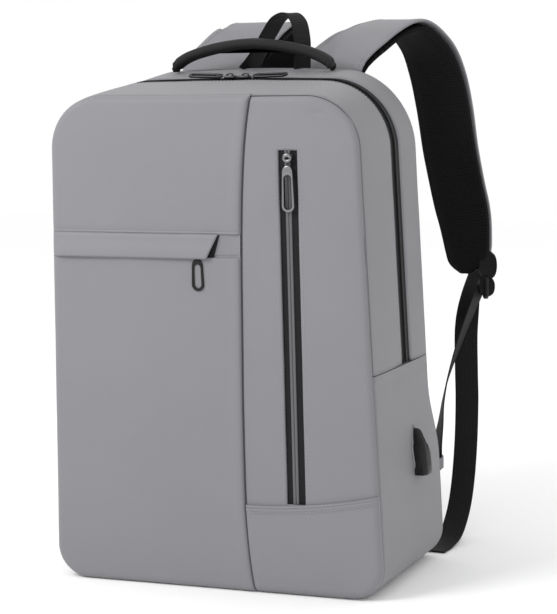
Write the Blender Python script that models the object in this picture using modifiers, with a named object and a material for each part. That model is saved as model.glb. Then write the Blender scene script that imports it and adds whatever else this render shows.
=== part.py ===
"""Laptop backpack with a charging port, built as separate sewn and moulded pieces.

Metres, +Z up. The origin is the middle of the base, the front faces -Y and
+X is to the right of somebody who looks at the front.
"""

import math

import bmesh
import bpy
from mathutils import Matrix, Vector

# ---------------------------------------------------------------- dimensions
GAP = 0.0003               # clearance between pieces that touch on the real bag
BACK_GAP = 0.0010          # the same in front of the back panel, which slopes in places

# The bag's outer form
FRONT_Y = -0.0745          # front face at floor level
BACK_Y = 0.0745            # back face at floor level
LEAN = 0.05                # how far the bag leans forward for each metre of height
HALF_FRONT = 0.1475        # half width of the front face at TAPER_Z
HALF_BACK = 0.1515         # half width of the back face at TAPER_Z
TAPER = 0.23               # loss of width for each metre of height, as a fraction
TAPER_Z = 0.10
TOP_FRONT = 0.421          # height of the front face
TOP_BACK = 0.437           # height of the back face at its corners
CROWN = 0.006              # rise of the top in the middle of its width
RADIUS_FRONT = 0.045       # upper corners of the front face
RADIUS_BACK = 0.065        # upper corners of the back face
RADIUS_BASE = 0.028        # lower corners
BULGE = 0.024              # how far the lower back stands out
BULGE_LOW = 0.095          # height below which the lower back stands out fully
BULGE_HIGH = 0.165         # height above which it does not stand out
BULGE_STEPS = 5            # levels that the bulge is modelled in

# Walls
GUSSET = 0.0025            # padded wall of the top and sides
PANEL = 0.0040             # padded front and back panels
LEFT_PROUD = 0.0020        # the left front section stands in front of the right one
WALL_INSET = 0.0021        # the lower walls sit this far inside the side pockets
POCKET_CLOTH = 0.0018
HEM_Z = 0.0004             # the upright panels stop just above the base
BASE_THICK = 0.0030
BASE_BOARD = 0.0020

# The fold that the front opens about, level with the ends of the main zip
SPLIT_Z = 0.200
POCKET_TOP = 0.190
FLAP_AXIS_Y = -0.0935

# The main zip, measured from the front to the back
ZIP_START = 0.0050
ZIP_END = 0.0270
COIL_WIDTH = 0.0018
SLIDER_LENGTH = 0.010
SLIDER_WIDTH = 0.009
SLIDER_HEIGHT = 0.0030
MAIN_PULL = 0.033

# Front sections
SEAM_X = 0.027             # the seam between the left and right sections, at floor level
SEAM_SLOPE = 0.021         # how far it moves to the right for each metre of height
SEAM_FLARE = (0.014, 0.009)   # how far its lower and upper ends swing to the right
WELT_LOW = 0.2855
WELT_HIGH = 0.3045
WELT_END_HIGH = 0.0133
WELT_END_LOW = 0.0049
FRONT_ZIP_X = 0.0766       # upper end of the upright zip
FRONT_ZIP_SLOPE = -0.0035  # sideways for each metre down
FRONT_ZIP_HIGH = 0.3760
FRONT_ZIP_LOW = 0.0790
FRONT_ZIP_WIDTH = 0.0158
CORNER_POCKET_LEFT = 0.0765
CORNER_POCKET_RIGHT = 0.0905

# Carrying
HANDLE_Y = 0.030
HANDLE_HALF = 0.0745
HANDLE_FOOT_Z = 0.4420
HANDLE_RISE = 0.0225
HANDLE_SHAPE = 1.6         # 1 for a pointed arch, more for a flatter top
STRAP_WIDTH = 0.062
STRAP_END_WIDTH = 0.040
STRAP_COVER = 0.0030
STRAP_FOAM = 0.0080
STRAP_GAP = 0.0018         # between the cover and the foam of a strap, which twist
WEB_WIDTH = 0.022
WEB_THICK = 0.0014
LEFT_SHIFT = -0.112        # from the right shoulder strap to the left one
LEFT_DRIFT = -0.095        # how far the left strap's lower end swings outwards

# Middle line of the right shoulder strap, from the yoke to its lower end
STRAP_ROUTE = [
    (0.0600, 0.0635, 0.4300),
    (0.0625, 0.0670, 0.4420),
    (0.0705, 0.0755, 0.4540),
    (0.0840, 0.0850, 0.4655),
    (0.0960, 0.0990, 0.4750),
    (0.1125, 0.1190, 0.4800),
    (0.1260, 0.1380, 0.4630),
    (0.1336, 0.1500, 0.4380),
    (0.1382, 0.1600, 0.4054),
    (0.1420, 0.1680, 0.3657),
    (0.1474, 0.1730, 0.3321),
    (0.1537, 0.1760, 0.2985),
    (0.1575, 0.1790, 0.2600),
]
# Middle line of the right strap's free webbing, from the buckle to the floor
TAIL_ROUTE = [
    (0.1541, 0.1850, 0.2470),
    (0.1487, 0.1870, 0.2240),
    (0.1470, 0.1890, 0.1950),
    (0.1497, 0.1900, 0.1570),
    (0.1506, 0.1900, 0.1283),
    (0.1501, 0.1880, 0.0902),
    (0.1488, 0.1820, 0.0526),
    (0.1475, 0.1700, 0.0261),
    (0.1460, 0.1480, 0.0075),
    (0.1436, 0.1240, 0.0018),
    (0.1415, 0.1060, 0.0010),
]
# Middle line of the right strap's anchored webbing, from the bag to the buckle
STRAND_ROUTE = [
    (0.1455, 0.1060, 0.0975),
    (0.1463, 0.1150, 0.1180),
    (0.1465, 0.1250, 0.1390),
    (0.1478, 0.1400, 0.1610),
    (0.1530, 0.1600, 0.1900),
    (0.1640, 0.1740, 0.2260),
]

BUCKLE_TURN = math.radians(70.0)   # the buckle hangs edge on to the front
BUCKLE_SIZE = (0.030, 0.0040, 0.025)
BUCKLE_SLOTS = [(-0.0030, -0.0080), (-0.0110, -0.0160), (-0.0185, -0.0220)]

# Charging port
PORT_Y = 0.027
PORT_LOW = 0.0905
PORT_HIGH = 0.1320
PORT_PROUD = 0.012
PORT_WIDTH = 0.021

# Colours as (red, green, blue, roughness, metallic)
GREY = (0.300, 0.300, 0.320, 0.62, 0.0)
BLACK = (0.014, 0.014, 0.015, 0.55, 0.0)
MESH = (0.006, 0.006, 0.007, 0.85, 0.0)
LINING = (0.035, 0.035, 0.040, 0.80, 0.0)
PLASTIC = (0.012, 0.012, 0.013, 0.35, 0.0)
GUNMETAL = (0.070, 0.070, 0.075, 0.28, 1.0)
STEEL = (0.550, 0.550, 0.560, 0.25, 1.0)


# ------------------------------------------------------------------- helpers
def clear_scene():
    for old in list(bpy.data.objects):
        bpy.data.objects.remove(old)


def new_collection(name, hidden=False):
    collection = bpy.data.collections.new(name)
    bpy.context.scene.collection.children.link(collection)
    collection.hide_render = hidden
    return collection


def material(name, look):
    red, green, blue, roughness, metallic = look
    made = bpy.data.materials.new(name)
    made.use_nodes = True
    shader = made.node_tree.nodes["Principled BSDF"]
    shader.inputs["Base Color"].default_value = (red, green, blue, 1.0)
    shader.inputs["Roughness"].default_value = roughness
    shader.inputs["Metallic"].default_value = metallic
    made.diffuse_color = (red, green, blue, 1.0)
    return made


def place(obj, look):
    """Link a finished object into the bag and give it its own material."""
    PARTS.objects.link(obj)
    obj.data.materials.append(material(obj.name, look))
    return obj


def object_from(name, mesh_builder, look):
    mesh = bpy.data.meshes.new(name)
    mesh_builder.to_mesh(mesh)
    mesh_builder.free()
    return place(bpy.data.objects.new(name, mesh), look)


def move_origin(obj, origin):
    """Put the object's origin on its joint without moving its shape."""
    shift = Vector(origin)
    obj.data.transform(Matrix.Translation(-shift))
    obj.location = shift


def bevel(obj, width, segments=2, angle=35.0):
    rounding = obj.modifiers.new("rounded edges", "BEVEL")
    rounding.width = width
    rounding.segments = segments
    rounding.limit_method = "ANGLE"
    rounding.angle_limit = math.radians(angle)


def sheet(name, rows, thickness, look):
    """Loft rows of points and thicken them inwards.

    The outer side is the cross product of the way along a row and the way
    from one row to the next.
    """
    loft = bmesh.new()
    grid = [[loft.verts.new(point) for point in row] for row in rows]
    for this, following in zip(grid, grid[1:]):
        for left in range(len(this) - 1):
            loft.faces.new((this[left], this[left + 1], following[left + 1], following[left]))
    obj = object_from(name, loft, look)
    wall = obj.modifiers.new("thickness", "SOLIDIFY")
    wall.thickness = thickness
    wall.offset = -1.0
    wall.use_even_offset = True
    return obj


def sweep(name, sections, look):
    """Join closed sections into one solid with a face at each end.

    The sides are split into triangles so that two twisted bands that lie on
    each other are split along the same lines.
    """
    loft = bmesh.new()
    rings = [[loft.verts.new(point) for point in section] for section in sections]
    count = len(rings[0])
    for this, following in zip(rings, rings[1:]):
        for side in range(count):
            after = (side + 1) % count
            if side < count / 2:
                loft.faces.new((this[side], this[after], following[after]))
                loft.faces.new((this[side], following[after], following[side]))
            else:
                loft.faces.new((this[side], this[after], following[side]))
                loft.faces.new((this[after], following[after], following[side]))
    loft.faces.new(rings[0][::-1])
    loft.faces.new(rings[-1])
    bmesh.ops.recalc_face_normals(loft, faces=loft.faces)
    return object_from(name, loft, look)


def block(name, low, high, look, rounding=0.0):
    """A box between two corners, made from a cube."""
    box = bmesh.new()
    bmesh.ops.create_cube(box, size=1.0)
    size = Vector(high) - Vector(low)
    bmesh.ops.scale(box, vec=size, verts=box.verts)
    bmesh.ops.translate(box, vec=(Vector(high) + Vector(low)) / 2, verts=box.verts)
    obj = object_from(name, box, look)
    if rounding:
        bevel(obj, rounding)
    return obj


def smooth_route(points, steps):
    """Read a smooth curve through the points, steps pieces to each span."""
    curve = [Vector(point) for point in points]
    padded = [2 * curve[0] - curve[1]] + curve + [2 * curve[-1] - curve[-2]]
    route = []
    for first, second, third, fourth in zip(padded, padded[1:], padded[2:], padded[3:]):
        for step in range(steps):
            t = step / steps
            route.append(0.5 * (2 * second + (third - first) * t
                                + (2 * first - 5 * second + 4 * third - fourth) * t ** 2
                                + (3 * second - first - 3 * third + fourth) * t ** 3))
    route.append(curve[-1])
    return route


def ramp(value, low, high):
    """0 below low, 1 above high and a smooth rise between them."""
    t = min(1.0, max(0.0, (value - low) / (high - low)))
    return t * t * (3 - 2 * t)


def between(start, end, count):
    return [start + (end - start) * step / count for step in range(count + 1)]


# ---------------------------------------------------------------- bag's form
def depth_of(y):
    """Turn a distance at floor level into 0 at the front and 1 at the back."""
    return (y - FRONT_Y) / (BACK_Y - FRONT_Y)


def form_y(depth, z):
    back = BACK_Y + BULGE * ramp(-z, -BULGE_HIGH, -BULGE_LOW)
    return FRONT_Y + (back - FRONT_Y) * depth - LEAN * z


def half_width(depth, z):
    level = HALF_FRONT + (HALF_BACK - HALF_FRONT) * depth
    return level * (1 - TAPER * (z - TAPER_Z))


def top_of(depth):
    return TOP_FRONT + (TOP_BACK - TOP_FRONT) * depth


def radius_of(depth):
    return RADIUS_FRONT + (RADIUS_BACK - RADIUS_FRONT) * depth


def outline_half(depth, z):
    """Half width with the rounded corners at the base and at the top."""
    if z < RADIUS_BASE:
        corner = half_width(depth, RADIUS_BASE) - RADIUS_BASE
        return corner + math.sqrt(max(0.0, RADIUS_BASE ** 2 - (RADIUS_BASE - z) ** 2))
    centre = top_of(depth) - radius_of(depth)
    if z > centre:
        corner = half_width(depth, centre) - radius_of(depth)
        return corner + math.sqrt(max(0.0, radius_of(depth) ** 2 - (z - centre) ** 2))
    return half_width(depth, z)


def arch_row(depth, inset):
    """The bag's outline from the fold on the left, over the top, to the right."""
    radius = radius_of(depth) - inset
    centre = top_of(depth) - radius_of(depth)
    corner = half_width(depth, centre) - radius_of(depth)
    side = [(half_width(depth, z) - inset, z) for z in between(SPLIT_Z + GAP / 2, centre, 3)]
    turn = [(corner + radius * math.cos(math.radians(a)), centre + radius * math.sin(math.radians(a)))
            for a in (18, 36, 54, 72, 90)]
    top = [(corner * part, centre + radius) for part in (0.66, 0.33, 0.0)]
    right = side + turn + top
    left = [(-x, z) for x, z in right[:-1]]
    crowned = []
    for x, z in left + right[::-1]:
        rise = CROWN * depth * ramp(z, centre, centre + radius) * (1 - (x / 0.16) ** 2)
        crowned.append((x, form_y(depth, z), z + rise))
    return crowned


def arch(name, start, end, thickness, inset, look, spans=1):
    """A band of the arch between two distances from the front."""
    depths = between(depth_of(start), depth_of(end), spans)
    return sheet(name, [arch_row(depth, inset) for depth in depths], thickness, look)


def heights(depth, low, high):
    """Levels between two heights, closer together round the corners and the bulge."""
    centre = top_of(depth) - radius_of(depth)
    levels = {low, high, 0.050, CORNER_POCKET_LEFT, 0.300}
    levels.update(RADIUS_BASE * (1 - math.cos(math.radians(a))) for a in (22, 44, 66, 90))
    levels.update(centre + radius_of(depth) * math.sin(math.radians(a)) for a in (0, 20, 40, 60, 75, 90))
    levels.update(between(BULGE_LOW, BULGE_HIGH, BULGE_STEPS))
    return sorted({round(z, 6) for z in levels if low <= z <= high})


def front_panel(name, offset, low, high, left_edge, right_edge, look, thickness=PANEL):
    """A piece of the front face, offset forwards, between two edges."""
    rows = []
    for z in heights(0.0, low, high):
        left, right = left_edge(z), right_edge(z)
        y = form_y(0.0, z) - offset
        rows.append([(x, y, z) for x in between(left, right, 2)])
    return sheet(name, rows, thickness, look)


def seam(z):
    low_flare, high_flare = SEAM_FLARE
    flare = high_flare if z > 0.2 else low_flare
    return SEAM_X + SEAM_SLOPE * z + flare * ((z - 0.2) / 0.22) ** 4


def left_outline(z):
    return -outline_half(0.0, z)


def right_outline(z):
    return outline_half(0.0, z)


def front_zip_x(z):
    return FRONT_ZIP_X + FRONT_ZIP_SLOPE * (FRONT_ZIP_HIGH - z)


def mirrored(rows):
    return [[(-x, y, z) for x, y, z in row] for row in rows[::-1]]


# -------------------------------------------------------------------- pieces
def make_base():
    front, back = depth_of(FRONT_Y + PANEL + GAP), depth_of(BACK_Y - PANEL - BACK_GAP)
    reach = RADIUS_BASE + WALL_INSET + GAP
    corners = []
    for depth in (back, front):
        half = half_width(depth, RADIUS_BASE) - reach
        corners.append([(-half, form_y(depth, 0.0), 0.0), (half, form_y(depth, 0.0), 0.0)])
    sheet("base_panel", corners, BASE_THICK, GREY)
    board_z = BASE_THICK + GAP
    board = [[(x * 0.96, y * 0.90, board_z) for x, y, z in row] for row in corners]
    sheet("base_board", board, BASE_BOARD, LINING)


def wall_rows(inset, start, end, top):
    """The right lower wall, from the edge of the base up to a height."""
    turn_angles = (0, 22, 44, 66)
    rows = []
    depths = [depth_of(y) for y in between(start, end, 3)]
    for angle in turn_angles:
        row = []
        for depth in depths:
            corner = half_width(depth, RADIUS_BASE) - RADIUS_BASE
            radius = RADIUS_BASE - inset
            x = corner + radius * math.sin(math.radians(angle))
            z = RADIUS_BASE - radius * math.cos(math.radians(angle))
            row.append((x, form_y(depth, z), z))
        rows.append(row)
    for z in heights(1.0, RADIUS_BASE, top):
        rows.append([(half_width(depth, z) - inset, form_y(depth, z), z) for depth in depths])
    return rows


def make_side_walls():
    start, end = FRONT_Y + PANEL + GAP, BACK_Y - PANEL - BACK_GAP
    walls = wall_rows(WALL_INSET, start, end, SPLIT_Z - GAP / 2)
    sheet("side_wall_right", walls, 0.0020, LINING)
    sheet("side_wall_left", mirrored(walls), 0.0020, LINING)
    pockets = wall_rows(0.0, start, end, POCKET_TOP)
    sheet("side_pocket_right", pockets, POCKET_CLOTH, GREY)
    sheet("side_pocket_left", mirrored(pockets), POCKET_CLOTH, GREY)


def make_arches():
    arch("front_gusset", FRONT_Y + PANEL + GAP, ZIP_START - GAP, GUSSET, 0.0, GREY, spans=2)
    middle = (ZIP_START + ZIP_END) / 2
    arch("main_zip_tape_front", ZIP_START, middle - COIL_WIDTH - 2 * GAP, 0.0012, 0.0008, BLACK)
    arch("main_zip_coil_front", middle - COIL_WIDTH - GAP, middle - GAP / 2, 0.0020, 0.0, BLACK)
    arch("main_zip_coil_rear", middle + GAP / 2, middle + COIL_WIDTH + GAP, 0.0020, 0.0, BLACK)
    arch("main_zip_tape_rear", middle + COIL_WIDTH + 2 * GAP, ZIP_END, 0.0012, 0.0008, BLACK)
    arch("rear_gusset", ZIP_END + GAP, BACK_Y - PANEL - BACK_GAP, GUSSET, 0.0, GREY, spans=2)


def back_rows(offset, low, high, half):
    """Rows of the back from high to low, at a distance behind the back face."""
    rows = []
    for z in heights(1.0, low, high)[::-1]:
        reach = half(z)
        y = form_y(1.0, z) + offset
        rows.append([(x, y, z) for x in between(-reach, reach, 2)])
    return rows


def make_back():
    rows = back_rows(0.0, HEM_Z, TOP_BACK, lambda z: outline_half(1.0, z))
    sheet("back_board", rows, PANEL, GREY)
    for name, side in (("back_pad_left", -1), ("back_pad_right", 1)):
        rows = back_rows(0.0096, BULGE_HIGH - 0.014, 0.385, lambda z: 0.0480)
        moved = [[(x + side * 0.0620, y, z) for x, y, z in row] for row in rows]
        bevel(sheet(name, moved, 0.0090, MESH), 0.0035, 1)
    rows = back_rows(0.0096, RADIUS_BASE, BULGE_LOW + 0.014, lambda z: 0.1100)
    bevel(sheet("lumbar_pad", rows, 0.0090, MESH), 0.0035, 1)
    rows = back_rows(0.0043, 0.388, 0.4255, lambda z: 0.1000)
    sheet("strap_yoke", rows, 0.0040, GREY)
    sleeve = [[(x, form_y(depth_of(0.048), z), z) for x in (-0.125, 0.125)]
              for z in between(0.012, 0.330, 4)]
    sheet("laptop_sleeve", sleeve, 0.0050, LINING)


def box_cutter(name, size, centre, shear=0.0):
    """A hidden box for cutting; shear moves it sideways for each metre up."""
    cutter = bmesh.new()
    bmesh.ops.create_cube(cutter, size=1.0)
    bmesh.ops.scale(cutter, vec=size, verts=cutter.verts)
    for corner in cutter.verts:
        corner.co.x += shear * corner.co.z
    bmesh.ops.translate(cutter, vec=centre, verts=cutter.verts)
    mesh = bpy.data.meshes.new(name)
    cutter.to_mesh(mesh)
    cutter.free()
    obj = bpy.data.objects.new(name, mesh)
    obj.hide_render = True
    obj.display_type = "WIRE"
    CUTTERS.objects.link(obj)
    return obj


def cut(obj, cutter):
    slot = obj.modifiers.new("slot", "BOOLEAN")
    slot.operation = "DIFFERENCE"
    slot.object = cutter


def zip_slot(low, high):
    """A cutter that follows the upright zip."""
    middle = (low + high) / 2
    centre = (front_zip_x(middle), form_y(0.0, middle), middle)
    return box_cutter("zip_slot", (FRONT_ZIP_WIDTH, 0.040, high - low), centre, -FRONT_ZIP_SLOPE)


def make_front_left():
    inner = lambda z: seam(z) - GAP
    low_edge, high_edge = WELT_LOW - GAP, WELT_HIGH + GAP
    front_panel("front_left_top", LEFT_PROUD, high_edge, TOP_FRONT, left_outline, inner, GREY)
    front_panel("front_left_middle", LEFT_PROUD, SPLIT_Z + GAP / 2, low_edge, left_outline, inner, GREY)
    front_panel("front_left_lower", LEFT_PROUD, HEM_Z, SPLIT_Z - GAP / 2, left_outline, inner, GREY)

    welt_slope = (WELT_END_HIGH - WELT_END_LOW) / (WELT_HIGH - WELT_LOW)
    welt_end = lambda z: WELT_END_LOW + welt_slope * (z - WELT_LOW)
    front_panel("pocket_welt", 0.0058, WELT_LOW, WELT_HIGH, left_outline, welt_end, GREY, 0.0022)
    tape_left = lambda z: -0.130
    front_panel("hidden_zip_tape", 0.0004, WELT_LOW, WELT_HIGH, tape_left, inner, BLACK, 0.0015)
    bag_edges = (lambda z: -0.115, lambda z: 0.015)
    front_panel("hidden_pocket_bag", -0.0050, 0.210, 0.280, *bag_edges, LINING, 0.0030)


def make_front_right():
    upper = front_panel("front_right_upper", 0.0, SPLIT_Z + GAP / 2, TOP_FRONT,
                        seam, right_outline, GREY)
    cut(upper, zip_slot(SPLIT_Z - 0.010, FRONT_ZIP_HIGH))
    lower = front_panel("front_right_lower", 0.0, HEM_Z, SPLIT_Z - GAP / 2,
                        seam, right_outline, GREY)
    cut(lower, zip_slot(FRONT_ZIP_LOW, SPLIT_Z + 0.010))

    half = FRONT_ZIP_WIDTH / 2 - GAP
    zip_edges = (lambda z: front_zip_x(z) - half, lambda z: front_zip_x(z) + half)
    front_panel("front_zip_upper", -0.0010, SPLIT_Z + GAP / 2, FRONT_ZIP_HIGH - GAP,
                *zip_edges, BLACK, 0.0016)
    front_panel("front_zip_lower", -0.0010, FRONT_ZIP_LOW + GAP, SPLIT_Z - GAP / 2,
                *zip_edges, BLACK, 0.0016)
    make_corner_pocket()
    bag_edges = (lambda z: 0.042, lambda z: 0.120)
    front_panel("upright_pocket_bag", -0.0050, 0.205, 0.395, *bag_edges, LINING, 0.0030)


def make_corner_pocket():
    """The sewn-on panel in the lower right corner, with a rolled upper edge."""
    rows = []
    for z in heights(0.0, HEM_Z, CORNER_POCKET_LEFT):
        left, right = seam(z) + 2 * GAP, right_outline(z)
        row = []
        for part in (0.0, 0.5, 0.8, 1.0):
            stretch = 1 + (CORNER_POCKET_RIGHT / CORNER_POCKET_LEFT - 1) * part ** 2
            height = z * (1 + (stretch - 1) * ramp(z, RADIUS_BASE, CORNER_POCKET_LEFT))
            row.append((left + (right - left) * part, form_y(0.0, height) - 0.0021, height))
        rows.append(row)
    sheet("corner_pocket", rows, 0.0018, GREY)


def make_linings():
    """The wall between the front pockets and the main space."""
    y_at = lambda z: form_y(depth_of(-0.052), z)
    for name, low, high in (("front_lining_lower", 0.012, SPLIT_Z - GAP / 2),
                            ("front_lining_upper", SPLIT_Z + GAP / 2, 0.400)):
        rows = [[(x, y_at(z), z) for x in (-0.128, 0.128)] for z in between(low, high, 3)]
        sheet(name, rows, 0.0015, LINING)


# ------------------------------------------------------------------- sliders
def zip_top_z(x):
    """Height of the main zip's coils at a distance from the middle."""
    depth = depth_of((ZIP_START + ZIP_END) / 2)
    return top_of(depth) + CROWN * depth * (1 - (x / 0.16) ** 2)


def pull_plate(name, length, width, thick, look):
    """A flat pull with round ends and a long slot, lying along -Z from the origin."""
    outline = bpy.data.curves.new(name, "CURVE")
    outline.dimensions = "2D"
    outline.fill_mode = "BOTH"
    outline.extrude = thick / 2
    rims = ((width / 2, -length, -0.001), (width / 4, -length + 0.004, -0.010))
    for half, low, high in rims:
        lower_turn = [(a, low + half) for a in between(180, 360, 6)]
        upper_turn = [(a, high - half) for a in between(0, 180, 6)]
        spline = outline.splines.new("POLY")
        spline.points.add(len(lower_turn + upper_turn) - 1)
        for point, (angle, centre) in zip(spline.points, lower_turn + upper_turn):
            turn = math.radians(angle)
            point.co = (half * math.cos(turn), centre + half * math.sin(turn), 0.0, 1.0)
        spline.use_cyclic_u = True
    return place(bpy.data.objects.new(name, outline), look)


def make_main_sliders():
    depth = depth_of((ZIP_START + ZIP_END) / 2)
    for side, word in ((-1, "left"), (1, "right")):
        inner = 0.0015 * side - 0.0005
        outer = inner + SLIDER_LENGTH * side
        z = zip_top_z(0.0) + GAP
        y = form_y(depth, z)
        low = (min(inner, outer), y - SLIDER_WIDTH / 2, z)
        high = (max(inner, outer), y + SLIDER_WIDTH / 2, z + SLIDER_HEIGHT)
        slider = block("main_slider_" + word, low, high, GUNMETAL, 0.0008)
        move_origin(slider, (outer, y, z))
        pull = pull_plate("main_pull_" + word, MAIN_PULL, 0.0085, 0.0018, GUNMETAL)
        pull.location = (outer + 0.0014 * side, y, z + 0.0012)
        pull.rotation_euler = (0.0, 0.0, math.radians(-90.0) * side * -1)


def make_front_slider():
    """The slider on the upright zip, at its upper stop, with its hanging pull."""
    high, low = 0.3745, 0.3655
    x = front_zip_x(low) + 0.0004
    y = form_y(0.0, (low + high) / 2)
    slider = block("front_slider", (x - 0.0045, y - 0.0036, low), (x + 0.0045, y + 0.0004, high),
                   GUNMETAL, 0.0009)
    move_origin(slider, (x, y, low))
    pull = pull_plate("front_pull", 0.0390, 0.0110, 0.0018, GUNMETAL)
    pull.location = (x, form_y(0.0, low) - 0.0024, low - 0.0014)
    pull.rotation_euler = (math.radians(90.0) + math.atan(LEAN), 0.0, 0.0)


def make_hidden_slider():
    """The slider behind the welt, with the pull that hangs below it."""
    x = -0.0052
    low, high = WELT_LOW + 0.0008, WELT_LOW + 0.0120
    y = form_y(0.0, (low + high) / 2)
    slider = block("hidden_slider", (x - 0.0040, y - 0.0030, low), (x + 0.0040, y - 0.0010, high),
                   GUNMETAL, 0.0004)
    move_origin(slider, (x, y, low))
    pull = pull_plate("hidden_pull", 0.0262, 0.0110, 0.0016, PLASTIC)
    pull.location = (x, form_y(0.0, WELT_LOW) - 0.0039, WELT_LOW - 0.0010)
    pull.rotation_euler = (math.radians(90.0) + math.atan(LEAN), 0.0, 0.0)


# ------------------------------------------------------- handle, loop, straps
def band_sections(route, widths, ways, thick, outwards):
    """Flat sections along a route; ways gives the direction across each one."""
    sections = []
    for index, point in enumerate(route):
        before = route[max(0, index - 1)]
        after = route[min(len(route) - 1, index + 1)]
        along = (after - before).normalized()
        way = ways[index]
        across = (way - along * way.dot(along)).normalized()
        normal = across.cross(along)
        half = across * (widths[index] / 2)
        near, far = normal * outwards, normal * (outwards + thick)
        sections.append([point - half + near, point + half + near, point + half + far, point - half + far])
    return sections


def webbing(name, route, ways, outwards=0.0):
    """A length of flat black webbing."""
    return sweep(name, band_sections(route, [WEB_WIDTH] * len(route), ways, WEB_THICK, outwards), BLACK)


def make_handle():
    """The padded grip, an arch of soft oval section between two flat sewn ends."""
    sections = []
    for step in range(15):
        t = -1 + step / 7
        x = HANDLE_HALF * math.sin(math.radians(84) * t) / math.sin(math.radians(84))
        z = HANDLE_FOOT_Z + HANDLE_RISE * (1 - abs(t) ** HANDLE_SHAPE)
        slope = -HANDLE_RISE * HANDLE_SHAPE * abs(t) ** (HANDLE_SHAPE - 1) * math.copysign(1, t)
        along = Vector((HANDLE_HALF, 0.0, slope)).normalized()
        up = Vector((-along.z, 0.0, along.x))
        fullness = ramp(1 - abs(t), 0.0, 0.35)
        across = Vector((0.0, 0.0060 + 0.0025 * fullness, 0.0))
        height = up * (0.0016 + 0.0030 * fullness)
        middle = Vector((x, HANDLE_Y, z))
        turns = [math.radians(angle) for angle in between(22.5, 337.5, 7)]
        sections.append([middle + across * math.cos(a) + height * math.sin(a) for a in turns])
    grip = sweep("handle_grip", sections, BLACK)
    move_origin(grip, (0.0, HANDLE_Y, HANDLE_FOOT_Z))


def make_hang_loop():
    """A loop of webbing behind the handle that stands up and turns as it rises."""
    route = smooth_route([
        (-0.0100, 0.0505, 0.4465),
        (-0.0015, 0.0505, 0.4590),
        (0.0075, 0.0505, 0.4740),
        (0.0165, 0.0510, 0.4865),
        (0.0275, 0.0510, 0.4910),
        (0.0365, 0.0510, 0.4840),
        (0.0405, 0.0505, 0.4700),
        (0.0415, 0.0505, 0.4590),
        (0.0410, 0.0505, 0.4465),
    ], 2)
    ways = [Vector((0.55, 0.83, 0.0))] * 2 + [Vector((0.35, 0.94, 0.0))] * (len(route) - 2)
    loop = webbing("hang_loop", route, ways)
    move_origin(loop, (0.0155, 0.0505, 0.4465))


def strap_way(t, side):
    """Direction across a shoulder strap, t from 0 at the yoke to 1 at its end."""
    level = 0.22 * (1 - ramp(t, 0.0, 0.10))
    if side < 0:
        turn = math.radians(21.0) * ramp(t, 0.45, 0.90)
        return Vector((math.cos(turn), -math.sin(turn), level * 0.5))
    turn = math.radians(42.0) * ramp(t, 0.04, 0.24) - math.radians(21.0) * ramp(t, 0.25, 0.60)
    droop = 0.30 * ramp(t, 0.08, 0.20) * (1 - ramp(t, 0.20, 0.40))
    return Vector((math.cos(turn), -math.sin(turn), level - droop))


def shifted(points, side):
    """The right side's route, or the left side's, which swings outwards lower down."""
    if side > 0:
        return [Vector(point) for point in points]
    moved = []
    for x, y, z in points:
        drift = LEFT_DRIFT * ramp(y, 0.075, 0.215)
        moved.append(Vector((x + LEFT_SHIFT + drift, y, z)))
    return moved


def make_strap(side, word):
    route = smooth_route(shifted(STRAP_ROUTE, side), 2)
    last = len(route) - 1
    ways = [strap_way(index / last, side) for index in range(last + 1)]
    widths = [STRAP_WIDTH + (STRAP_END_WIDTH - STRAP_WIDTH) * ramp(index / last, 0.80, 1.0)
              for index in range(last + 1)]
    top = route[0]
    cover = sweep("strap_cover_" + word, band_sections(route, widths, ways, STRAP_COVER, STRAP_GAP), GREY)
    foam = band_sections(route, widths, ways, STRAP_FOAM, -STRAP_FOAM)
    pad = sweep("strap_pad_" + word, foam[1:], MESH)
    for obj in (cover, pad):
        move_origin(obj, top)
    make_buckle(side, word, top)
    make_webbing(side, word, top)


def make_buckle(side, word, top):
    """The webbing stub below the pad and the ladder buckle that it holds."""
    end = shifted(STRAP_ROUTE[-1:], side)[0]
    across = Vector((math.cos(BUCKLE_TURN), -math.sin(BUCKLE_TURN), 0.0))
    stub_top = end + Vector((0.0137, 0.0008, -0.0030))
    stub_route = [stub_top, stub_top - Vector((0.0, 0.0, 0.0034))]
    stub = webbing("buckle_stub_" + word, stub_route, [across] * 2)
    move_origin(stub, top)

    width, thick, height = BUCKLE_SIZE
    buckle = block("ladder_buckle_" + word, (-width / 2, -thick / 2, -height),
                   (width / 2, thick / 2, 0.0), PLASTIC)
    for number, (high, low) in enumerate(BUCKLE_SLOTS):
        size = (width - 0.006, 0.020, high - low)
        slot = box_cutter("buckle_slot_%s_%d" % (word, number), size, (0.0, 0.0, (high + low) / 2))
        slot.parent = buckle
        cut(buckle, slot)
    buckle.location = end + Vector((0.0140, 0.0, -0.0082))
    buckle.rotation_euler = (0.0, 0.0, -BUCKLE_TURN)


def left_strand_points():
    """The left strand hangs in one shallow bow between its tab and its buckle."""
    x, y, z = STRAND_ROUTE[0]
    low, high = Vector((-x, y, z)), Vector(STRAND_ROUTE[-1])
    high.x += tail_points(-1)[0].x - TAIL_ROUTE[0][0]
    bow = Vector((0.0, 0.010, -0.006))
    return [low.lerp(high, t) + bow * math.sin(math.pi * t) for t in between(0.0, 1.0, 4)]


def tail_points(side):
    """The free webbing's route, below the lower end of its own strap."""
    shift = shifted(STRAP_ROUTE[-1:], side)[0].x - STRAP_ROUTE[-1][0]
    return [Vector((x + shift, y, z)) for x, y, z in TAIL_ROUTE]


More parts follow.
